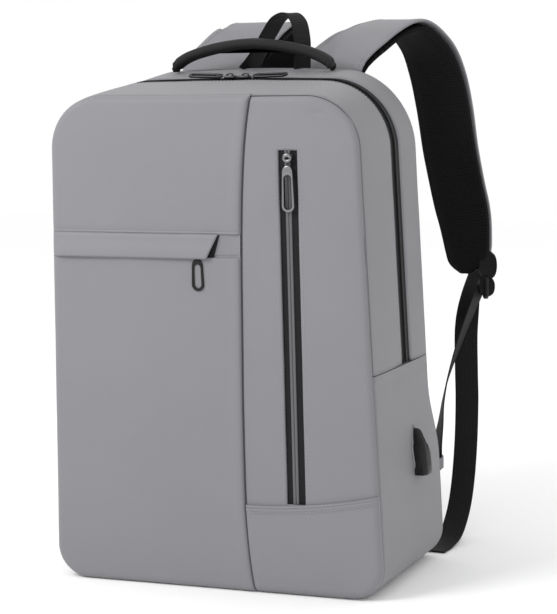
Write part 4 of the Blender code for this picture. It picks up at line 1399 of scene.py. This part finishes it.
for side, word in ((1, "right"), (-1, "left")):
    end = shifted(STRAP_ROUTE[-1:], side)[0]
    across, out = BUCKLE_ACROSS, BUCKLE_OUT
    top = end + Vector((0.0140, 0.0, -0.0082))
    up = Vector((0.0, 0.0, 1.0))
    stub = web_roll("buckle_stub_web_" + word, top + out * 0.0015 + up * 0.0070, across, out, up,
                    0.0084, 0.0135)
    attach(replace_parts(stub, "buckle_stub_" + word), "strap_" + word)
    place = turned((across, (0, 0, -1), out), top)
    rim = hoop("buckle_rim", lambda t: tapered(t, 0.0060, 0.0, 0.0250, 0.0060),
               lambda t: tapered(t, 0.0032, 0.0028, 0.0222, 0.0032), 0.0040,
               lambda a, b, c: place(a * 2.5, b, c), plastic, power=3.0)
    bars = [capsule_bar("buckle_bar", (-0.0118, at, 0.0), (0.0118, at, 0.0), 0.0017, place, plastic)
            for at in (0.0098, 0.0168)]
    lobe = web_roll("buckle_fold_web_" + word, top + out * 0.0004 - up * 0.0126, across, out, up,
                    0.0076, 0.0095)
    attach(lobe, "buckle_" + word)
    buckle = join_into(rim, *bars)
    buckle.name = "buckle_frame_" + word
    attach(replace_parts(buckle, "ladder_buckle_" + word),
            "buckle_" + word)
print("buckles made")

# %% Webbing of the straps
def left_strand_points():
    """The left strand hangs in one shallow bow between its tab and its buckle."""
    x, y, z = STRAND_ROUTE[0]
    low, high = Vector((-x, y, z)), Vector(STRAND_ROUTE[-1])
    high.x += shifted(STRAP_ROUTE[-1:], -1)[0].x - STRAP_ROUTE[-1][0]
    bow = Vector((0.0, 0.010, -0.006))
    return [low.lerp(high, t) + bow * math.sin(math.pi * t) for t in (0.0, 0.25, 0.5, 0.75, 1.0)]


def webbing_band(name, route, ways, outwards):
    count = len(route)
    return band(name, band_frames(route, ways), [WEB_WIDTH] * count, [WEB_THICK] * count, webbing,
                outwards, 7.0, 24)


web_lengths = {}
for side, word in ((1, "right"), (-1, "left")):
    strand_points = [Vector(point) for point in STRAND_ROUTE] if side > 0 else left_strand_points()
    strand_points.append(strand_points[-1] + Vector((0.0050, 0.0035, 0.0120)))
    strand_route = smooth_route([strand_points[0] + Vector((0.0005 * side, -0.0045, -0.0100))]
                                + strand_points, 10)
    turns = [math.radians(41.0 - 25.5 * ramp(n, 0, 36) - 25.0 * ramp(n, 30, 66))
             for n in range(len(strand_route))]
    ways = [Vector((math.sin(turn) * side, -math.cos(turn), 0.0)) for turn in turns]
    strand = webbing_band("strand_web_" + word, strand_route, ways, 0.0)
    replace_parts(strand, "strap_strand_" + word)
    tuple(strand_route[12])
    tuple(strand_route[-2])
    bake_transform(strand)
    shift = shifted(STRAP_ROUTE[-1:], side)[0].x - STRAP_ROUTE[-1][0]
    tail_route = smooth_route([(x + shift + side * 0.0065 * ramp(z, 0.140, 0.250), y, z)
                               for x, y, z in [(0.1576, 0.1876, 0.2540)] + TAIL_ROUTE], 10)
    tail_ways = [Vector((0.98, 0.10, 0.0)).lerp(Vector((0.80, -0.60, 0.0)),
                                                ramp(point.z, 0.190, 0.250))
                 for point in tail_route]
    tail = webbing_band("tail_web_" + word, tail_route, tail_ways, -WEB_THICK / 2)
    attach(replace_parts(tail, "strap_tail_" + word), "strap_" + word)
    for what, route in (("strand", strand_route), ("tail", tail_route)):
        web_lengths[what + " " + word] = route_length(route)
print("webbing:", web_lengths)

# %% Anchor tabs
def soft_wedge(name, corners, depth, look, edge=0.0007):
    """A flat cushion-edged piece over four corners, thickened along a direction."""
    plate = bmesh.new()
    face = plate.faces.new([plate.verts.new(corner) for corner in corners])
    thick = bmesh.ops.extrude_face_region(plate, geom=[face])
    moved = [part for part in thick["geom"] if isinstance(part, bmesh.types.BMVert)]
    bmesh.ops.translate(plate, vec=depth, verts=moved)
    bmesh.ops.recalc_face_normals(plate, faces=plate.faces)
    bmesh.ops.bevel(plate, geom=plate.edges, offset=edge, offset_type="OFFSET", segments=3,
                    profile=0.5, affect="EDGES", material=-1)
    plate.loops.layers.uv.new("weave")
    return finish_mesh(name, plate, look, sharp=80)


for side, word in ((1, "right"), (-1, "left")):
    outline = [(0.1452, 0.0945, 0.0730), (0.1452, 0.0945, 0.1015), (0.1522, 0.1040, 0.0910),
               (0.1522, 0.1040, 0.0800)]
    corners = [Vector((x * side, y, z)) for x, y, z in outline]
    tab = soft_wedge("anchor_tab_cloth_" + word, corners, Vector((-0.0030 * side, 0.0020, 0.0)),
                     grey_cloth)
    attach(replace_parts(tab, "anchor_tab_" + word), "bag")
print("anchor tabs made")

# %% [markdown]
# ## The back
# The back is a padded panel of the same cloth. Two upright cushions and one across the lower
# back carry the load, and they are covered with spacer mesh. The cushions are blown up by a short
# cloth simulation, so that their covers pull in at the sewn edges and stand full in the middle.

# %% Back panel
def arc_heights(base, radius, angles):
    """Heights on a quarter circle that starts upright at a base."""
    return [round(base + radius * math.sin(math.radians(a)), 5) for a in angles]


straight = TOP_BACK - RADIUS_BACK - RADIUS_BASE
back_levels = {round(RADIUS_BASE * (1 - math.cos(math.radians(a))), 5) for a in range(6, 91, 6)}
back_levels.update(arc_heights(TOP_BACK - RADIUS_BACK, RADIUS_BACK, range(0, 91, 4)))
back_levels.update(round(RADIUS_BASE + straight * n / 70, 5) for n in range(70))
back_levels.add(HEM_Z)
back_levels = sorted(z for z in back_levels if z >= HEM_Z)
back_levels = [back_levels[0]] + back_levels + [back_levels[-1]]


def back_place(column, row):
    """The grid runs from right to left, so that its outer side faces backwards."""
    columns, z = 62, back_levels[row]
    t = min(max(column - 1, 0), columns - 2) / (columns - 2)
    reach = outline_half(1.0, z) - 0.0004
    x = reach * math.cos(math.pi * t) * 0.35 + reach * (1 - 2 * t) * 0.65
    gap = edge_gap(1.0, x, z)
    lift = pillow(gap, 0.0012, 0.018) + ripple(x, z, 90.0) - roll(gap, 0.0036) - 0.0006
    y = form_y(1.0, z) + lift
    if column in (0, columns) or row in (0, len(back_levels) - 1):
        y -= 0.0030
    return Vector((x, y, z + rise_of(1.0, x, z)))


back = cloth("back_cloth", 62, len(back_levels) - 1, back_place, grey_cloth)
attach(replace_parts(back, "back_board"), "bag")
print("back panel:", len(back.data.polygons), "faces")

# %% Blown cushions
def evaluated_mesh(piece):
    """The shape a piece has with all its modifiers."""
    graph = bpy.context.evaluated_depsgraph_get()
    return bpy.data.meshes.new_from_object(piece.evaluated_get(graph))


def solid_mesh(piece, *settings):
    """Give a piece a modifier for each (kind, values) and keep the shape they make."""
    for kind, values in settings:
        modifier = piece.modifiers.new(kind.lower(), kind)
        for key, value in values.items():
            setattr(modifier, key, value)
    shape = evaluated_mesh(piece)
    piece.modifiers.clear()
    piece.data = shape
    return piece


def blow_up(piece, pressure, cap):
    """Cloth with air inside; no point may move further than cap."""
    start = [corner.co.copy() for corner in piece.data.vertices]
    cover = piece.modifiers.new("cover", "CLOTH")
    cover.settings.use_pressure = True
    cover.settings.uniform_pressure_force = pressure
    cover.settings.effector_weights.gravity = 0.0
    cover.point_cache.frame_start, cover.point_cache.frame_end = 1, 20
    for step in range(1, 21):
        bpy.context.scene.frame_set(step)
    blown = evaluated_mesh(piece)
    piece.modifiers.clear()
    bpy.context.scene.frame_set(1)
    for corner, old in zip(blown.vertices, start):
        move = corner.co - old
        if move.length > cap:
            corner.co = old + move * (cap / move.length)
    piece.data = blown
    return piece


def cushion(name, x_low, x_high, z_low, z_high, radius, channels, node):
    """A cushion on the back: a rounded slab that is blown up and then sewn across."""
    slab = bmesh.new()
    bmesh.ops.create_grid(slab, x_segments=24, y_segments=36, size=0.5)
    for corner in slab.verts:
        x = x_low + (x_high - x_low) * (corner.co.x + 0.5)
        z = z_low + (z_high - z_low) * (corner.co.y + 0.5)
        inner_x = min(max(x, x_low + radius), x_high - radius)
        inner_z = min(max(z, z_low + radius), z_high - radius)
        away = Vector((x - inner_x, 0.0, z - inner_z))
        if away.length > 1e-6:
            square = max(abs(away.x), abs(away.z))
            away *= square / away.length
        corner.co = Vector((inner_x + away.x, 0.0, inner_z + away.z))
        corner.co.y = form_y(1.0, corner.co.z) + 0.0016
    bmesh.ops.recalc_face_normals(slab, faces=slab.faces)
    piece = finish_mesh(name, slab, cushion_mesh)
    backwards = 1.0 if piece.data.polygons[0].normal.y > 0 else -1.0
    solid_mesh(piece, ("SOLIDIFY", {"thickness": 0.0050, "offset": backwards}),
               ("REMESH", {"mode": "VOXEL", "voxel_size": 0.0030}))
    blow_up(piece, 4.0, 0.006)
    solid_mesh(piece, ("SUBSURF", {"levels": 1, "render_levels": 1}))
    for corner in piece.data.vertices:
        x, y, z = corner.co
        rest = form_y(1.0, z)
        height = (y - rest) / 0.0090
        inside = min(x - x_low, x_high - x, z - z_low, z_high - z)
        dip = sum(groove(z, at, 0.0022) for at in channels) * 0.0034 * ramp(height, 0.2, 0.8)
        dip += 0.0016 * groove(inside, 0.0075, 0.0014) * ramp(height, 0.2, 0.8)
        corner.co.y = max(rest + 0.0009, min(rest + 0.0105, y - dip))
    piece.data.shade_smooth()
    piece.data.materials.clear()
    piece.data.materials.append(cushion_mesh)
    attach(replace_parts(piece, node), "bag")
    return piece


upright_channels = (0.190, 0.229, 0.268, 0.307, 0.346)
for side, word in ((-1, "left"), (1, "right")):
    low, high = sorted((side * 0.0165, side * 0.1075))
    cushion("back_cushion_" + word, low, high, 0.1535, 0.3825, 0.018, upright_channels,
            "back_pad_" + word)
cushion("lumbar_cushion", -0.1075, 0.1075, 0.0305, 0.1065, 0.020, (), "lumbar_pad")
print("cushions blown")

# %% Strap yoke
yoke_levels = [0.3880 + 0.0375 * n / 16 for n in range(17)]


def yoke_place(column, row):
    z = yoke_levels[row]
    x = 0.1000 - 0.2000 * column / 60
    gap = min(0.1000 - abs(x), z - 0.3880, 0.4255 - z)
    y = form_y(1.0, z) + 0.0012 + 0.0024 * ramp(gap, -0.0004, 0.0030) + ripple(x, z, 95.0)
    y -= 0.0006 * groove(gap, 0.0042, 0.0007)
    return Vector((x, y, z))


yoke = cloth("yoke_cloth", 60, 16, yoke_place, grey_cloth, wall=0.0010)
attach(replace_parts(yoke, "strap_yoke"), "bag")
print("yoke made")

# %% [markdown]
# ## Base and linings
# The base is one panel of cloth with rounded edges. Inside, a stiff board lies on it, and thin
# lining walls divide the space, which shows when the front is opened.

# %% Base
def base_depth(t):
    """Depth of the base, t from 0 at its front edge to 1 at its back edge."""
    front, back = depth_of(FRONT_Y + 0.0043), depth_of(BACK_Y - 0.0052)
    return front + (back - front) * t


def base_place(column, row):
    """From right to left, so that the cloth faces down."""
    depth = base_depth(row / 40)
    half = half_width(depth, RADIUS_BASE) - RADIUS_BASE - 0.0010
    x = half * (1 - 2 * column / 60)
    return Vector((x, form_y(depth, 0.0), 0.0))


base = cloth("base_cloth", 60, 40, base_place, grey_cloth, wall=0.0014)
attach(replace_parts(base, "base_panel"), "bag")
print("base cloth:", len(base.data.polygons), "faces")


# %% Linings
def lining_sheet(name, node, body, wide, high, at, wall=0.0012):
    """A flat lining between two widths and two heights; at(x, z) gives its distance."""
    columns, rows = 40, 40

    def place(column, row):
        x = wide[0] + (wide[1] - wide[0]) * column / columns
        z = high[0] + (high[1] - high[0]) * row / rows
        gap = min(x - wide[0], wide[1] - x, z - high[0], high[1] - z)
        turned_under = roll(gap, 0.0010)
        return Vector((x, at(x, z) + ripple(x, z, len(name), 0.0005, 0.03) + turned_under * 0.5, z))

    piece = cloth(name, columns, rows, place, lining_cloth, wall=wall)
    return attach(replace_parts(piece, node), body)


def lining_at(x, z):
    return form_y(depth_of(-0.052), z) + 0.0001


lining_sheet("front_lining_low_cloth", "front_lining_lower", "bag", (-0.1275, 0.1275),
             (0.0125, 0.1995), lining_at)
lining_sheet("front_lining_high_cloth", "front_lining_upper", "front_flap", (-0.1275, 0.1275),
             (0.2005, 0.3995), lining_at)
lining_sheet("hidden_pocket_cloth", "hidden_pocket_bag", "front_flap", (-0.1145, 0.0145),
             (0.2105, 0.2795),
             lambda x, z: form_y(0.0, z) + 0.0056, wall=0.0020)
lining_sheet("upright_pocket_cloth", "upright_pocket_bag", "front_flap", (0.0425, 0.1195),
             (0.2055, 0.3945),
             lambda x, z: form_y(0.0, z) + 0.0056, wall=0.0020)
lining_sheet("sleeve_cloth", "laptop_sleeve", "bag", (-0.1245, 0.1245), (0.0125, 0.3295),
             lambda x, z: form_y(depth_of(0.048), z) + 0.0003 + 0.0004 * groove(z, 0.322, 0.002),
             wall=0.0044)


def board_place(column, row):
    depth = base_depth(0.06 + 0.88 * row / 30)
    half = (half_width(depth, RADIUS_BASE) - RADIUS_BASE) * 0.95
    x = half * (2 * column / 40 - 1)
    gap = min(half - abs(x), 0.004)
    return Vector((x, form_y(depth, 0.0) * 0.95, 0.0052 - roll(gap, 0.0010) * 0.6))


board = cloth("base_board_cloth", 40, 30, board_place, lining_cloth, wall=0.0016)
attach(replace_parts(board, "base_board"), "bag")
print("linings made")

# %% [markdown]
# ## The charging port
# A moulded hood stands on the right side, wide at the bottom and pointed at the top, with a soft
# ridge down its middle. A socket for a charging lead looks down from under it. The hood is a
# stack of rounded sections, and a surround of cloth is pressed round its foot.

# %% Port hood
PORT_Y, PORT_LOW, PORT_HIGH, PORT_PROUD, PORT_WIDTH = 0.027, 0.0905, 0.1320, 0.012, 0.021
port_middle = (PORT_LOW + PORT_HIGH) / 2
port_wall = half_width(depth_of(PORT_Y), port_middle) + 0.0006
port_y = PORT_Y - LEAN * port_middle


def between_levels(levels, z):
    """Values read from (height, values) levels, with a smooth way between them."""
    for (low, first), (high, second) in zip(levels, levels[1:]):
        if z <= high:
            share = ramp(z, low, high)
            return [a + (b - a) * share for a, b in zip(first, second)]
    return levels[-1][1]


HOOD_LEVELS = [(PORT_LOW, (1.0, 0.94)), (PORT_LOW + 0.0030, (1.0, 1.0)),
               (port_middle - 0.003, (0.98, 1.0)),
               (port_middle + 0.0045, (0.78, 0.94)), (port_middle + 0.0085, (0.46, 0.80)),
               (PORT_HIGH - 0.0050, (0.36, 0.66)),
               (PORT_HIGH - 0.0015, (0.30, 0.56)), (PORT_HIGH, (0.16, 0.40))]


SOCKET_HALF, SOCKET_TOP = (0.0033, 0.0074), PORT_LOW + 0.0128


def port_lean(z):
    """How far the leaning wall carries the port, at a height."""
    depth = depth_of(PORT_Y)
    return form_y(depth, z) - form_y(depth, port_middle)


def hood_place(angle, row):
    """Rows go down inside the socket, out under the hood and up its outside; angle 90 faces out."""
    if row < 8:
        z = SOCKET_TOP - (SOCKET_TOP - PORT_LOW) * row / 7
        c, s = oval(angle, 8.0)
        wide = 1.0 + 0.06 * ramp(-z, -PORT_LOW - 0.0012, -PORT_LOW)
        return Vector((port_wall + 0.0058 + SOCKET_HALF[0] * wide * s,
                       port_y + SOCKET_HALF[1] * wide * c, z))
    z = PORT_LOW + (PORT_HIGH - PORT_LOW) * (row - 8) / 40
    width, proud = between_levels(HOOD_LEVELS, z)
    c, s = oval(angle, 3.6 if math.sin(angle) > 0 else 12.0)
    foot = half_width(depth_of(PORT_Y), z) - 0.0014
    out = foot + 0.0014 + PORT_PROUD * proud
    ridge = 0.0009 * groove(c, 0.0, 0.16) * (s > 0) * ramp(z, PORT_LOW + 0.002, PORT_LOW + 0.010)
    hip = foot + (out - foot) * 0.25
    x = (hip + (out - hip) * s if s > 0 else hip + (hip - foot) * s) + ridge
    return Vector((x, port_y + PORT_WIDTH / 2 * width * c + port_lean(z), z))


hood = tube("port_hood_shell", 56, 48, hood_place, plastic)
hood.data.set_sharp_from_angle(angle=math.radians(38))
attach(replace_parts(hood, "port_hood"), "bag")

for node, look in (("port_shell", steel), ("port_tongue", plastic)):
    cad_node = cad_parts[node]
    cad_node.data.materials.clear()
    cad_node.data.materials.append(look)
    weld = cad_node.modifiers.new("weld", "WELD")
    weld.merge_threshold = 0.00001
    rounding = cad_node.modifiers.new("rounded edges", "BEVEL")
    rounding.width, rounding.segments, rounding.limit_method = 0.00015, 2, "ANGLE"
print("hood stands out", round(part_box("port_hood")[1].x - port_wall, 4))

# %% Port surround
def surround_place(angle, row):
    """A low roll of cloth pressed round the foot of the hood."""
    t = row / 72 * TURN
    upper = math.sin(t) > 0
    half = PORT_WIDTH / 2 + 0.0016
    y = half * math.cos(t) * (1.0 - 0.62 * math.sin(t) ** 1.4 if upper else 1.0)
    z = port_middle + (0.0238 if upper else 0.0222) * math.sin(t)
    wall = half_width(depth_of(PORT_Y), z)
    centre = Vector((wall + 0.0010, port_y + y + port_lean(z), z))
    away = Vector((0.0, math.cos(t), math.sin(t)))
    return centre + away * (0.0013 * math.cos(angle)) + Vector((0.0008 * math.sin(angle), 0.0, 0.0))


surround = tube("port_surround", 10, 72, surround_place, grey_cloth, closed=True)
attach(surround, "bag")
print("port surround made")

# %% [markdown]
# ## Stitches
# Thread goes in and out of the cloth at an even pitch, and each visible stitch is a short round
# grain that sinks in at both ends. One grain of a few dozen faces is repeated along each row.

# %% Stitch tools
grain_builder = bmesh.new()
bmesh.ops.create_uvsphere(grain_builder, u_segments=6, v_segments=5, radius=1.0)
bmesh.ops.rotate(grain_builder, verts=grain_builder.verts, cent=(0, 0, 0),
                 matrix=Matrix.Rotation(math.pi / 2, 3, "Y"))
grain = template_mesh("grain", grain_builder)


def stitch_row(route, outs, length=0.0022, pitch=0.0032, width=0.00028):
    """Matrices of stitches along a route; outs gives the outward direction at each point."""
    spots, travelled, following = [], 0.0, pitch / 2
    for a, b, out in zip(route, route[1:], outs):
        step = (b - a).length
        while travelled + step >= following and step > 0:
            spot = a.lerp(b, (following - travelled) / step)
            spots.append(stood(spot, b - a, out) @ Matrix.Diagonal((length / 2, width, width, 1)))
            following += pitch
        travelled += step
    return spots


def sewn(name, rows, look, body=None):
    spots = [spot for row in rows for spot in row]
    piece = repeat(name, grain, spots, look)
    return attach(piece, body) if body else piece


print("grain faces:", len(grain.polygons))

# %% Stitches of the front
FORWARD = Vector((0.0, -1.0, -LEAN)).normalized()


def on_face(face_y, points, proud=0.00005):
    """Points (x, z) laid on a face."""
    return [Vector((x, face_y(x, z) - proud, z)) for x, z in points]


def face_row(face_y, points):
    route = on_face(face_y, points)
    return stitch_row(route, [FORWARD] * len(route))


def up_line(offset, low=UPRIGHT_LOW - 0.0022, high=UPRIGHT_HIGH + 0.0022, count=150):
    return [(upright_x(z) + offset, z)
            for z in (low + (high - low) * n / count for n in range(count + 1))]


beside = UPRIGHT_HALF + 0.0028
top_cross = [(upright_x(UPRIGHT_HIGH) + beside * (n / 8 - 1), UPRIGHT_HIGH + 0.0024)
             for n in range(17)]
upright_stitches = sewn("upright_stitches", [face_row(right_face_y, up_line(-beside)),
                                             face_row(right_face_y, up_line(beside)),
                                             face_row(right_face_y, top_cross)], grey_thread)
over_fold(upright_stitches)

facing_line = [(flap_end(WELT_LOW) + 0.004
                + (seam_x(0.288) - 0.002 - flap_end(WELT_LOW) - 0.004) * n / 20, 0.2892)
               for n in range(21)]
sewn("facing_stitches", [face_row(facing_y, facing_line)], grey_thread, "front_flap")


corner_route = []
for n in range(80):
    t = 0.02 + 0.94 * n / 79
    z = corner_edge(t) - 0.0058
    x = seam_x(z) + (outer_right(z) - seam_x(z)) * t
    gap = edge_gap(0.0, x, z)
    y = form_y(0.0, z) - 0.00315 - pillow(gap, 0.0008, 0.016) + roll(gap, EDGE_ROLL)
    corner_route.append(Vector((x, y, z)))
sewn("corner_stitches", [stitch_row(corner_route, [FORWARD] * 80)], grey_thread, "bag")
print("front stitches:", len(upright_stitches.data.polygons) // len(grain.polygons),
      "beside the zip")

# %% Stitches of the gussets and pockets
def arch_row_of(y, proud, lift, low=-0.985, high=0.985, count=600):
    parts = [low + (high - low) * n / count for n in range(count + 1)]
    depth = depth_of(y)
    route = [arch_spot(depth, part, lift(y, part) + proud) for part in parts]
    outs = [arch_spot(depth, part, 0.01) - arch_spot(depth, part, 0.0) for part in parts]
    return stitch_row(route, outs)


front_zip_sewing = sewn("front_band_stitches",
                        [arch_row_of(ZIP_START - 0.0032, 0.0001, front_band_lift)], grey_thread)
over_fold(front_zip_sewing)
sewn("rear_band_stitches", [arch_row_of(ZIP_END + 0.0032, 0.0001, rear_band_lift)], grey_thread,
     "bag")


def strap_sewing(side, frames):
    rows = []
    last = len(frames) - 1
    for edge in (-1, 1):
        route, outs = [], []
        for index in range(10, last - 8):
            point, across, normal = frames[index]
            half = cover_half(frames, index, side, edge) - 0.0042
            route.append(point + across * (edge * half) + normal * 0.00462)
            outs.append(normal)
        rows.append(stitch_row(route, outs))
    return rows


for side, word in ((1, "right"), (-1, "left")):
    sewn("strap_stitches_" + word, strap_sewing(side, strap_frames(side)), grey_thread,
         "strap_" + word)

yoke_line = []
for x, z in [(-0.0965, 0.3915), (0.0965, 0.3915), (0.0965, 0.4220), (-0.0965, 0.4220),
             (-0.0965, 0.3915)]:
    yoke_line.append(Vector((x, form_y(1.0, z) + 0.0037, z)))
fine = [a.lerp(b, n / 40) for a, b in zip(yoke_line, yoke_line[1:]) for n in range(40)]
sewn("yoke_stitches", [stitch_row(fine, [Vector((0, 1, 0))] * len(fine))], grey_thread, "bag")
print("stitches sewn")

# %% [markdown]
# ## Light and backdrop
# The bag stands in soft even light on white. A large light above and a little to the left makes
# the top edges brighter than the base, and a dimmer one on the right keeps that side readable.

# %% Light and backdrop
def soft_light(name, place, target, size, power):
    lamp = bpy.data.lights.new(name, "AREA")
    lamp.shape, lamp.size, lamp.size_y, lamp.energy = "RECTANGLE", size, size, power
    source = bpy.data.objects.new(name, lamp)
    source.location = place
    source.rotation_mode = "QUATERNION"
    source.rotation_quaternion = (Vector(target) - Vector(place)).to_track_quat("-Z", "Y")
    bpy.context.scene.collection.objects.link(source)


soft_light("key light", (-0.52, -0.88, 0.98), (-0.12, -0.05, 0.44), 0.45, 8.2)
soft_light("fill light", (1.6, -1.2, 0.9), (0.0, 0.0, 0.20), 1.2, 0.9)
soft_light("back light", (0.9, 1.4, 1.0), (0.0, 0.0, 0.25), 1.4, 1.0)

floor_grid = bmesh.new()
bmesh.ops.create_grid(floor_grid, x_segments=2, y_segments=2, size=4.0)
floor = finish_mesh("floor", floor_grid, moulded("pale floor", (0.97, 0.97, 0.97), 0.90),
                    smooth=False)
floor.data.transform(Matrix.Translation((0.0, 0.0, -0.0004)))

world = bpy.data.worlds.new("white room")
bpy.context.scene.world = world
world.use_nodes = True
backdrop = world.node_tree.nodes["Background"]
backdrop.inputs["Color"].default_value = (1.0, 1.0, 1.0, 1.0)
backdrop.inputs["Strength"].default_value = 1.0
bpy.context.scene.view_settings.view_transform = "Standard"
print("lights:", len(bpy.data.lights))
